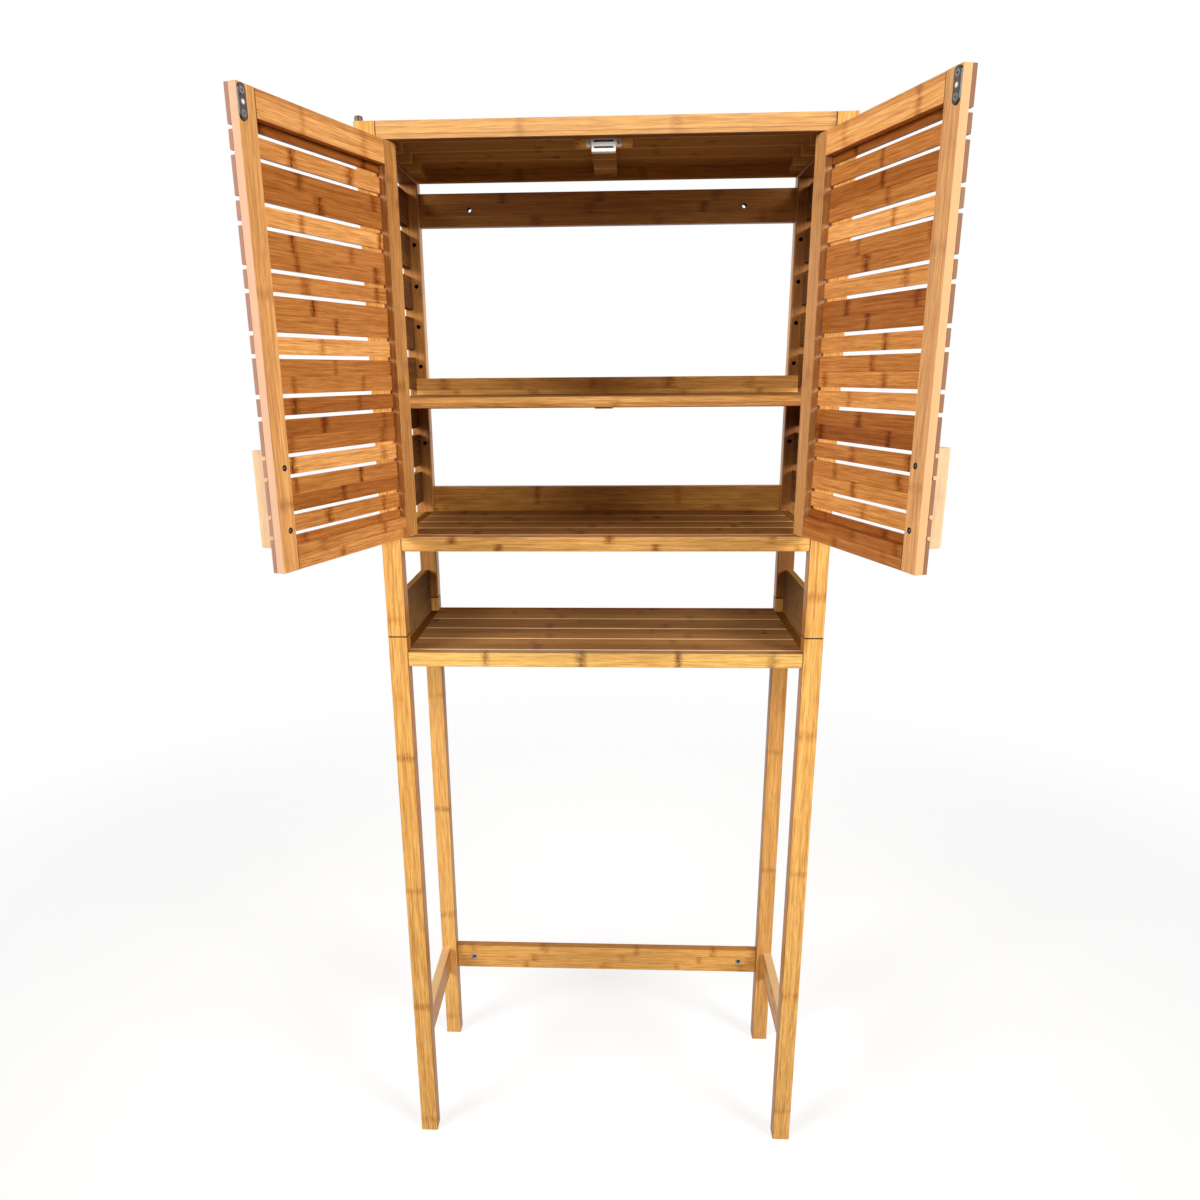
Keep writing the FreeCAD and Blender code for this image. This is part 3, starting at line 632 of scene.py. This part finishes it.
def bamboo(name, level, turn, origin, strip, spacing, seed, shine=0.35, marks=(), **values):
    """Varnished bamboo with its grain turned to suit a piece, and marks in colours of their own."""
    material, tree, shader, place = new_material(name)
    grain = grain_place(tree, place, turn, origin)
    tone = level(tree, place) if callable(level) else level
    wood = grouped(
        tree, BAMBOO, Place=grain, Level=tone, Strip_Width=strip[0], Strip_Depth=strip[1],
        Knuckle_Spacing=spacing, Seed=seed, **values
    )
    colour = wood["Colour"]
    gloss = wood["Gloss"]
    for mask, stain in marks:
        amount = mask(tree, place, grain)
        colour = blended(tree, amount, colour, stain)
        gloss = calc(tree, "MAXIMUM", gloss, amount)
    tree.links.new(colour, shader.inputs["Base Color"])
    tree.links.new(gloss, shader.inputs["Roughness"])
    shader.inputs["IOR"].default_value = 1.42
    shader.inputs["Specular IOR Level"].default_value = shine
    bumped(tree, shader, wood["Height"], distance=0.0004, strength=0.3)
    return material


def steel(name, tone, roughness, marks=()):
    """Dull plated steel with fine scratches and darker patches, and marks in colours of their own."""
    material, tree, shader, place = new_material(name)
    wear = grouped(tree, WEAR, Place=place, Size=160.0)
    scratches = clouds(tree, place, SCRATCHES, None, 2.0, 0.6)
    shadow = tuple(value * 0.5 for value in tone)
    colour = blended(tree, wear["Dull"], tone, shadow)
    colour = blended(tree, calc(tree, "MULTIPLY", wear["Scuff"], 0.5), colour, SCUFFED)
    for mask, stain in marks:
        colour = blended(tree, mask(tree, place), colour, stain)
    tree.links.new(colour, shader.inputs["Base Color"])
    shader.inputs["Metallic"].default_value = 1.0
    rough = calc(tree, "MULTIPLY_ADD", scratches, 0.2, roughness)
    tree.links.new(rough, shader.inputs["Roughness"])
    bumped(tree, shader, scratches, distance=0.00008, strength=0.3)
    return material


def moulded(name, tone, roughness, mottle):
    """Moulded plastic with a faint mottle and fine moulding grain."""
    material, tree, shader, place = new_material(name)
    wear = grouped(tree, WEAR, Place=place, Size=90.0)
    grain = clouds(tree, place, MOULDING_GRAIN)
    worn = tuple(value * mottle for value in tone)
    colour = blended(tree, wear["Dull"], tone, worn)
    tree.links.new(colour, shader.inputs["Base Color"])
    rough = calc(tree, "MULTIPLY_ADD", wear["Dull"], 0.15, roughness)
    tree.links.new(rough, shader.inputs["Roughness"])
    bumped(tree, shader, grain, distance=0.00006, strength=0.25)
    return material


def nut_socket_shade(tree, place):
    """Painted shade inside the sockets of the barrel nuts."""
    return fade(tree, from_pair(tree, place, NUTS), *NUT_SOCKET_RIM, NUT_SOCKET_STRENGTH, 0.0)


def strike_marks(middle):
    """What shows on a strike plate: its screws, its dark rim and a bright middle, partly where the catch rubs
    it and partly a painted glint.
    """
    def folded(tree, place):
        x, y, z = split(tree, place)
        return joined(tree, x, y, calc(tree, "ABSOLUTE", calc(tree, "SUBTRACT", z, middle[Z])))

    def screws(tree, place):
        screw = (middle[X], middle[Y], STRIKE_SCREWS)
        away = vector_step(tree, "DISTANCE", folded(tree, place), screw)
        return fade(tree, away, *STRIKE_SCREW_RIM, STRIKE_SCREW_STRENGTH, 0.0)

    def rim(tree, place):
        x, y, above = split(tree, folded(tree, place))
        beside = vector_step(tree, "DISTANCE", joined(tree, x, y, 0.0), (middle[X], middle[Y], 0.0))
        past = calc(tree, "MAXIMUM", calc(tree, "SUBTRACT", above, STRIKE_STRAIGHT), 0.0)
        start, end = [STRIKE_RADIUS - width for width in STRIKE_RIM]
        return fade(tree, length_of(tree, beside, past), start, end, 0.0, STRIKE_RIM_STRENGTH)

    def rubbed_and_glint(tree, place):
        return fade(tree, vector_step(tree, "DISTANCE", place, middle), *STRIKE_RUB_AND_GLINT, 1.0, 0.0)
    return (screws, STRIKE_SCREW_GREY), (rim, STRIKE_RIM_DARK), (rubbed_and_glint, STRIKE_WEAR_AND_GLINT)


def screw_middles(pivot, angle):
    """The pale middles of a door handle's screws."""
    def mask(tree, place):
        beside = calc(tree, "SUBTRACT", along_door(tree, place, pivot, angle), HANDLE_REACH)
        steps = [calc(tree, "SUBTRACT", split(tree, place)[Z], height) for height in HANDLE_SCREWS]
        above = calc(tree, "MINIMUM", *[calc(tree, "ABSOLUTE", step) for step in steps])
        return fade(tree, length_of(tree, beside, above), *HANDLE_SCREW_RIM, 1.0, 0.0)
    return mask


def paint(material, *names):
    """Gives CAD nodes a material in place of the one they came with."""
    for name in names:
        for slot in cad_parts[name].material_slots:
            slot.material = material


def upright(name, level, origin, seed, *marks, **values):
    """Bamboo with its grain upright, for a post or a leg."""
    corner = (origin[X] - POST_STRIP / 2, origin[Y] - POST_STRIP / 2, origin[Z])
    return bamboo(
        name, level, GRAIN_Z, corner, strip=(POST_STRIP, POST_STRIP), spacing=0.235, seed=seed, shine=0.25,
        marks=marks, Stagger=0.25, Knuckle_Strength=0.55, Knuckle_Line=0.3, **values
    )


def paint_uprights():
    """Posts and legs, and the dowels between them."""
    # Painted shade: the inner faces of the front posts and of all legs are darker than their outer faces, and
    # the rear posts are darker at the front than at the back
    front = stepped_tones(X, 0.36, (INNER_SHADE_EDGE, 0.825))
    for count, side in enumerate(("left", "right")):
        posts = (front, stepped_tones(Y, REAR_POST_SHADES[side], (REAR_SHADE_EDGE, 0.66)))
        legs = (front, stepped_tones(X, 0.3, (INNER_SHADE_EDGE, REAR_LEGS[side])))
        for depth, place in enumerate(("front", "rear")):
            origin = (POST_ASIDE * (2 * count - 1), POST_DEPTHS[depth], FIRST_KNUCKLES[place][count])
            seed = 1.0 + count + 2 * depth
            hue = {"Golden": 0.4, "Bleach": 0.03 * depth}
            post = place + "_post_" + side
            paint(upright("honey_" + post, posts[depth], origin, seed, (post_marks, SEAMS_AND_HOLE_SHADE), **hue), post)
            leg = place + "_leg_" + side
            paint(upright("honey_" + leg, legs[depth], origin, seed, (joint_line, SEAMS_AND_HOLE_SHADE), **hue), leg)
    paint(upright("honey_dowel", 0.8, (0.0, 0.0, 0.93), 5.0), "leg_joint_dowels")


def paint_rails():
    """Rails between the posts and legs, front and back."""
    ends = [(rail_ends, SEAMS_AND_HOLE_SHADE)]
    # Painted shade: the top rail's underside is darker than its face, which has two glued strips
    foot, seam, face = TOP_RAIL_SHADE_AND_STRIPS
    top = bamboo(
        "pale_top_rail", stepped_tones(Z, 0.22, (foot, 0.56), (seam, 0.44), (face, 0.625)),
        EDGE_X, (-0.11, -0.004, seam), strip=(0.03, 0.03), spacing=0.205, seed=10.0, shine=0.0, marks=ends,
        Stagger=0.0, Strip_Contrast=0.02, Knuckle_Strength=0.55, Knuckle_Line=0.35, Golden=0.4, Bleach=0.12
    )
    paint(top, "top_front_rail")
    # Painted shade: the floor rail's top face is darker than its front
    floor = bamboo(
        "honey_floor_rail", stepped_tones(Z, 0.760, (FLOOR_RAIL_TOP, 0.34)),
        EDGE_X, (-0.171, -0.004, 1.0635), strip=(0.0125, 0.03), spacing=0.226, seed=11.0, shine=0.15,
        marks=ends, Stagger=0.5, Strip_Contrast=0.06, Knuckle_Strength=1.0, Knuckle_Line=0.7, Golden=0.3
    )
    paint(floor, "floor_front_rail")
    # Painted shade: the lower rail's top face is darker than its front
    lower = bamboo(
        "pale_lower_rail", stepped_tones(Z, 0.887, (LOWER_RAIL_TOP, 0.33)),
        EDGE_X, (-0.196, -0.004, 0.882), strip=(0.03, 0.03), spacing=0.147, seed=12.0, shine=0.25,
        marks=ends, Stagger=0.15, Knuckle_Strength=1.25, Knuckle_Line=0.9, Golden=0.8, Bleach=0.05
    )
    paint(lower, "lower_shelf_front_rail")
    # Painted shade: the lower rear rail's top face is darker than its face, and its lower level is partly
    # painted shade inside the cabinet
    lower_rear = bamboo(
        "caramel_lower_rear_rail", stepped_tones(Z, 0.5, (LOWER_REAR_RAIL_TOP, 0.28)),
        EDGE_X, (0.0, 0.25, 0.88), strip=(0.025, 0.03), spacing=0.22, seed=13.0, shine=0.0
    )
    paint(lower_rear, "lower_shelf_rear_rail")
    # The back rails' lower levels are partly the bamboo's own tone and partly painted shade for the inside of
    # the cabinet
    top_rear = bamboo(
        "caramel_top_rear_rail", 0.42, EDGE_X, (0.0, 0.25, 1.61),
        strip=(0.025, 0.03), spacing=0.22, seed=17.0, shine=0.0, Golden=0.8, Bleach=0.04
    )
    paint(top_rear, "top_rear_rail")
    upper = bamboo(
        "dark_upper_rail", 0.361, EDGE_X, (-0.081, 0.25, 1.547),
        strip=(0.0167, 0.03), spacing=0.2, seed=14.0, shine=0.2, marks=[(upper_rail_marks, SEAMS_AND_HOLE_SHADE)],
        Knuckle_Strength=0.8, Strip_Contrast=0.08, Golden=0.5, Bleach=0.02
    )
    paint(upper, "upper_back_rail")
    back = bamboo(
        "caramel_back_rail", 0.619, EDGE_X, (-0.157, 0.25, 1.0635),
        strip=(0.034, 0.03), spacing=0.239, seed=15.0, shine=0.25, marks=ends,
        Stagger=0.3, Knuckle_Strength=0.7, Golden=0.6
    )
    paint(back, "floor_back_rail")
    # Painted shade: the back stretcher's top face is darker than its front
    stretcher = bamboo(
        "honey_stretcher", stepped_tones(Z, 0.725, (STRETCHER_SHADE_EDGE, 0.56)),
        EDGE_X, (-0.062, 0.25, 0.153), strip=(0.0167, 0.03), spacing=0.151, seed=16.0, shine=0.25, marks=ends,
        Knuckle_Strength=0.6, Knuckle_Line=0.5, Strip_Contrast=0.05, Golden=0.4
    )
    paint(stretcher, "back_stretcher")


def paint_sides():
    """Side rails, side slats, guard boards and side stretchers."""
    # Painted shade: the side rails' inner faces are darker than their outer faces
    rail = bamboo(
        "caramel_side_rail", stepped_tones(X, 0.21, (SIDE_RAIL_FACE, 0.58)),
        EDGE_Y, (0.29, 0.1, 0.884), strip=(0.03, 0.02), spacing=0.2, seed=20.0, shine=0.0,
        Golden=0.6, Bleach=0.01
    )
    paint(rail, "floor_side_rails", "leg_side_rails")
    # Painted shade: the top side rails are darker below their top faces
    top_rail = bamboo(
        "honey_top_side_rail", stepped_tones(Z, 0.32, (TOP_SIDE_RAIL_TOP, 0.60)),
        EDGE_Y, (0.29, 0.1, 1.61), strip=(0.03, 0.02), spacing=0.2, seed=24.0, shine=0.1, Golden=0.3
    )
    paint(top_rail, "top_side_rails")
    # Painted shade: the guard boards' inner faces are darker than their outer faces
    guard = bamboo(
        "caramel_guard_board", stepped_tones(X, 0.15, (SIDE_BOARD_FACE, 0.56)),
        EDGE_Y, (0.3, 0.1, 0.908), strip=(0.025, 0.016), spacing=0.19, seed=21.0, shine=0.0,
        Golden=0.9, Bleach=0.05
    )
    paint(guard, "guard_boards")
    # Painted shade on the side stretchers' inner faces, and painted light on their top faces
    stretcher = bamboo(
        "honey_side_stretcher", stepped_tones(X, 0.45, (SIDE_BOARD_FACE, 0.8)),
        EDGE_Y, (0.3, 0.1, 0.153), strip=(0.0167, 0.016), spacing=0.17, seed=22.0, shine=0.2,
        marks=[(painted_light_top(STRETCHER_TOP), PAINTED_TOP_LIGHT)], Golden=0.5
    )
    paint(stretcher, "side_stretchers")
    # Painted shade: the side slats' inner faces are darker than their outer faces
    slat = bamboo(
        "caramel_side_slat", stepped_tones(X, 0.15, (SIDE_SLAT_FACE, 0.52)),
        EDGE_Y, (0.3, 0.1, 1.547), strip=(0.021, 0.013), spacing=0.17, seed=23.0, shine=0.0,
        Golden=0.6, Bleach=0.03
    )
    paint(slat, "side_slats_left", "side_slats_right")


def paint_decks():
    """Slats, cleats, ribs and edges of the top, the floor, the lower shelf and the loose shelf."""
    # Painted highlights along the slats' rounded edges
    seams = [(slat_edge_highlights(DECK_FRONT, DECK_PITCH), SLAT_EDGE_HIGHLIGHT)]
    # Painted shade: the top slats and cleats are darker below their top faces
    top = bamboo(
        "toffee_top_slat", stepped_tones(Z, 0.43, (TOP_SLAT_TOP, 0.62)),
        GRAIN_X, (0.0, DECK_FRONT, 1.63), strip=(DECK_PITCH / 3, 0.02), spacing=0.21, seed=30.0, shine=0.0,
        marks=seams, Golden=0.8, Bleach=0.05
    )
    paint(top, "top_slats", "top_cleats")
    block = bamboo(
        "honey_catch_block", 0.85, GRAIN_X, (0.0, 0.03, 1.61),
        strip=(0.02, 0.02), spacing=0.2, seed=37.0, shine=0.0, Golden=0.6
    )
    paint(block, "catch_block")
    # The floor and lower shelf slats' low levels are partly the bamboo's own tone and partly painted shade
    # for the inside of the cabinet
    floor = bamboo(
        "toffee_floor_slat", 0.334, GRAIN_X, (0.0, DECK_FRONT, 1.07),
        strip=(DECK_PITCH / 2, 0.03), spacing=0.23, seed=31.0, shine=0.0, marks=seams,
        Strip_Contrast=0.25, Golden=0.5, Bleach=0.04
    )
    paint(floor, "floor_slats", "floor_cleats")
    lower = bamboo(
        "toffee_lower_slat", 0.316, GRAIN_X, (0.0, DECK_FRONT, 0.89),
        strip=(DECK_PITCH / 2, 0.03), spacing=0.23, seed=32.0, shine=0.0, marks=seams,
        Strip_Contrast=0.2, Golden=0.5, Bleach=0.07
    )
    paint(lower, "lower_shelf_slats", "lower_shelf_cleats")
    shelf = bamboo(
        "caramel_shelf_slat", 0.65, GRAIN_X, (0.0, SHELF_FRONT, 1.27),
        strip=(SHELF_PITCH / 2, 0.03), spacing=0.2, seed=33.0, shine=0.0,
        marks=[(slat_edge_highlights(SHELF_FRONT, SHELF_PITCH), SLAT_EDGE_HIGHLIGHT)], Golden=0.3
    )
    paint(shelf, "shelf_slats")
    rib = bamboo(
        "pale_shelf_rib", 0.8, GRAIN_Y, (0.0, 0.1, 1.26),
        strip=(0.03, 0.03), spacing=0.3, seed=34.0, Bleach=0.4
    )
    paint(rib, "shelf_ribs")
    # Painted shade: the shelf edge's underside is darker than its face, which has two glued strips
    foot, face = SHELF_EDGE_SHADE_AND_STRIPS
    edge = bamboo(
        "honey_shelf_edge", stepped_tones(Z, 0.2, (foot, 0.68), (face, 0.86)),
        EDGE_X, (-0.05, 0.02, 1.268), strip=(0.03, 0.03), spacing=0.3, seed=35.0, shine=0.12,
        Knuckle_Strength=0.4, Golden=0.15
    )
    paint(edge, "shelf_front_edge")
    lip = bamboo(
        "caramel_shelf_lip", stepped_tones(Z, 0.86, (SHELF_LIP_TOP, 0.69)),
        EDGE_X, (-0.229, 0.23, 1.268), strip=(0.0246, 0.03), spacing=0.126, seed=36.0, shine=0.1,
        Stagger=0.2, Strip_Contrast=0.05, Knuckle_Strength=0.7, Golden=0.5, Bleach=0.02
    )
    paint(lip, "shelf_back_lip")


def strike_middle(pivot, angle, reach):
    """The middle of a strike plate on its open door."""
    along = reach * STRIKE_PLACE[X]
    inward = STRIKE_PLACE[Y]
    return (
        pivot[X] + along * math.cos(angle) - inward * math.sin(angle),
        pivot[Y] + along * math.sin(angle) + inward * math.cos(angle),
        STRIKE_PLACE[Z],
    )


def paint_door(side, pivot, angle, reach, seed, strips):
    """One door's frame, slats, handle and plate, with the grain following the open door."""
    name = side + "_door_"
    standing = (0.0, -SQUARE, angle)
    lying = (SQUARE, 0.0, angle)
    hinge = bamboo(
        "caramel_" + side + "_hinge_stile", 0.534, standing, pivot,
        strip=STILE_STRIP, spacing=0.24, seed=seed, shine=0.15,
        Knuckle_Strength=0.5, Golden=0.3, Bleach=HINGE_STILES[side]
    )
    paint(hinge, name + "hinge_stile")
    outer, inner, paleness = FREE_STILES[side]
    # The free stile's edge carries painted pink light, pinker on the left door
    free = bamboo(
        "honey_" + side + "_free_stile", stile_tones(pivot, angle, outer, inner), standing, pivot,
        strip=STILE_STRIP, spacing=0.24, seed=seed + 1, shine=0.15, marks=[(door_edge(Z), STILE_EDGES_AND_PINK_LIGHT[side])],
        Knuckle_Strength=0.5, Golden=0.1, Bleach=paleness
    )
    paint(free, name + "free_stile")
    # The bottom rails' tones differ from side to side, partly the bamboo's own tone and partly painted light
    # and shade
    rail_tones = stepped_tones(Z, BOTTOM_RAILS[side], (MID_DOOR, 0.71), (DOOR_RAIL_LAYER, 0.58))
    rail = bamboo(
        "honey_" + side + "_door_rail", rail_tones, lying, (pivot[X], pivot[Y], DOOR_TOP),
        strip=(DOOR_RAIL_STRIP, 0.05), spacing=0.12, seed=seed + 2, shine=0.2,
        marks=[(door_rail_ends, SEAMS_AND_HOLE_SHADE)], Knuckle_Strength=0.7
    )
    paint(rail, name + "rails")
    # The slats' sawn ends are partly their own darker tone and partly painted pink light
    slat = bamboo(
        "amber_" + side + "_slat", slat_tones(strips), lying, (pivot[X], pivot[Y], DOOR_TOP - FIRST_SLAT),
        strip=(DOOR_STRIP, 0.05), spacing=0.15, seed=seed + 3, shine=0.08,
        marks=[(door_edge(X), SLAT_ENDS_AND_PINK_LIGHT[side])], Strip_Contrast=0.03, Knuckle_Line=1.0, Knuckle_Strength=1.0
    )
    paint(slat, name + "wide_slats", name + "narrow_slats")
    grip = bamboo(
        "pale_" + side + "_handle", 0.84, standing, pivot,
        strip=STILE_STRIP, spacing=0.3, seed=seed + 4, Bleach=0.45, Knuckle_Strength=0.3
    )
    paint(grip, name + "handle")
    screws = [(screw_middles(pivot, angle), SCREW_PALE)]
    paint(steel("dark_" + side + "_screw", DARK_SCREW, 0.38, screws), name + "handle_screws")
    plate_marks = strike_marks(strike_middle(pivot, angle, reach))
    paint(steel("dark_" + side + "_plate", DARK_PLATE, 0.38, plate_marks), name + "strike")


def paint_fittings():
    """Screws, pins, nuts, washers, the catch and the plug."""
    bright = steel("plated_steel", PLATED, roughness=0.28)
    paint(bright, "door_pivot_pins", "shelf_pins", "stretcher_bolts", "catch_screws")
    nuts = steel("socket_steel", PLATED, roughness=0.32, marks=[(nut_socket_shade, SOCKET_SHADE)])
    paint(nuts, "stretcher_nuts")
    paint(steel("blackened_steel", BLACKENED, roughness=0.45), "catch_pole_plates")
    paint(moulded("white_plastic", WHITE_PLASTIC, roughness=0.22, mottle=0.95), "catch_housing")
    paint(moulded("natural_nylon", NYLON, roughness=0.4, mottle=0.9), "door_pivot_washers")
    paint(moulded("brown_plug", PLUG_BROWN, roughness=0.35, mottle=0.7), "post_plug")


def set_camera():
    """The photograph's viewpoint, in a square frame."""
    yaw, pitch, roll = VIEW_YAW, VIEW_PITCH, VIEW_ROLL
    ahead = Vector((math.sin(yaw) * math.cos(pitch), math.cos(yaw) * math.cos(pitch), -math.sin(pitch)))
    level = Vector((math.cos(yaw), -math.sin(yaw), 0.0))
    upward = level.cross(ahead)
    right = math.cos(roll) * level + math.sin(roll) * upward
    up = math.cos(roll) * upward - math.sin(roll) * level
    data = bpy.data.cameras.new("viewpoint")
    data.sensor_width = 36.0
    data.lens = 26.906
    data.shift_x = 0.01846
    data.shift_y = 0.02343
    camera = bpy.data.objects.new("viewpoint", data)
    turn = Matrix((right, up, -ahead)).transposed().to_4x4()
    camera.matrix_world = Matrix.Translation(VIEW_PLACE) @ turn
    bpy.context.scene.collection.objects.link(camera)
    bpy.context.scene.camera = camera


def softbox(name, place, power, mirrored):
    """A large soft lamp aimed at the cabinet."""
    data = bpy.data.lights.new(name, "AREA")
    data.shape = "RECTANGLE"
    data.size, data.size_y = LAMP_SIZE
    data.energy = power
    data.color = LAMP_WHITE
    data.spread = LAMP_SPREAD
    lamp = bpy.data.objects.new(name, data)
    lamp.location = place
    lamp.visible_glossy = mirrored
    lamp.rotation_euler = (Vector(LAMP_TARGET) - Vector(place)).to_track_quat("-Z", "Y").to_euler()
    bpy.context.scene.collection.objects.link(lamp)


def set_lamps():
    """Two wide lamps in front, one on each side, and two weaker ones behind."""
    for side in (-1.0, 1.0):
        softbox("front_lamp", (side * FRONT_LAMPS[X], *FRONT_LAMPS[Y:]), FRONT_POWER, mirrored=True)
        softbox("back_lamp", (side * BACK_LAMPS[X], *BACK_LAMPS[Y:]), BACK_POWER, mirrored=False)


def background_rays(tree):
    """One for camera, glossy and transmission rays, which see the plain white surround."""
    rays = add(tree, "ShaderNodeLightPath").outputs
    seen = calc(tree, "MAXIMUM", rays["Is Camera Ray"], rays["Is Glossy Ray"])
    return calc(tree, "MAXIMUM", seen, rays["Is Transmission Ray"])


def set_surround():
    """A white surround that lights the cabinet softly, and a pale floor that fades into it."""
    world = bpy.data.worlds.new("studio")
    bpy.context.scene.world = world
    world.use_nodes = True
    tree = world.node_tree
    sky = tree.nodes["Background"]
    sky.inputs["Color"].default_value = WHITE
    tree.links.new(fade(tree, background_rays(tree), 0.0, 1.0, SKY_LIGHT, 1.0), sky.inputs["Strength"])

    bpy.ops.object.select_all(action="DESELECT")
    bpy.ops.mesh.primitive_plane_add(size=FLOOR_SIZE, location=ZERO)
    floor = bpy.context.object
    floor.name = "floor"
    material, tree, shader, place = new_material("pale_floor")
    shader.inputs["Base Color"].default_value = FLOOR_GREY
    shader.inputs["Roughness"].default_value = 0.9
    shader.inputs["Specular IOR Level"].default_value = 0.0
    shader.inputs["Emission Color"].default_value = WHITE
    glow = fade(tree, background_rays(tree), 0.0, 1.0, 0.0, FLOOR_GLOW)
    tree.links.new(glow, shader.inputs["Emission Strength"])
    distance = vector_step(tree, "DISTANCE", place, ZERO)
    clear = add(tree, "ShaderNodeBsdfTransparent")
    mixed = add(tree, "ShaderNodeMixShader")
    tree.links.new(fade(tree, distance, *FLOOR_FADE, 0.0, 1.0), mixed.inputs[0])
    tree.links.new(shader.outputs[0], mixed.inputs[1])
    tree.links.new(clear.outputs[0], mixed.inputs[2])
    tree.links.new(mixed.outputs[0], tree.nodes["Material Output"].inputs["Surface"])
    floor.data.materials.append(material)


set_camera()
set_surround()
set_lamps()
paint_uprights()
paint_rails()
paint_sides()
paint_decks()
paint_door("left", LEFT_PIVOT, LEFT_OPEN, 1.0, 40.0, LEFT_DOOR_STRIPS)
paint_door("right", RIGHT_PIVOT, RIGHT_OPEN, -1.0, 50.0, RIGHT_DOOR_STRIPS)
paint_fittings()

bpy.context.scene.view_settings.view_transform = "Standard"
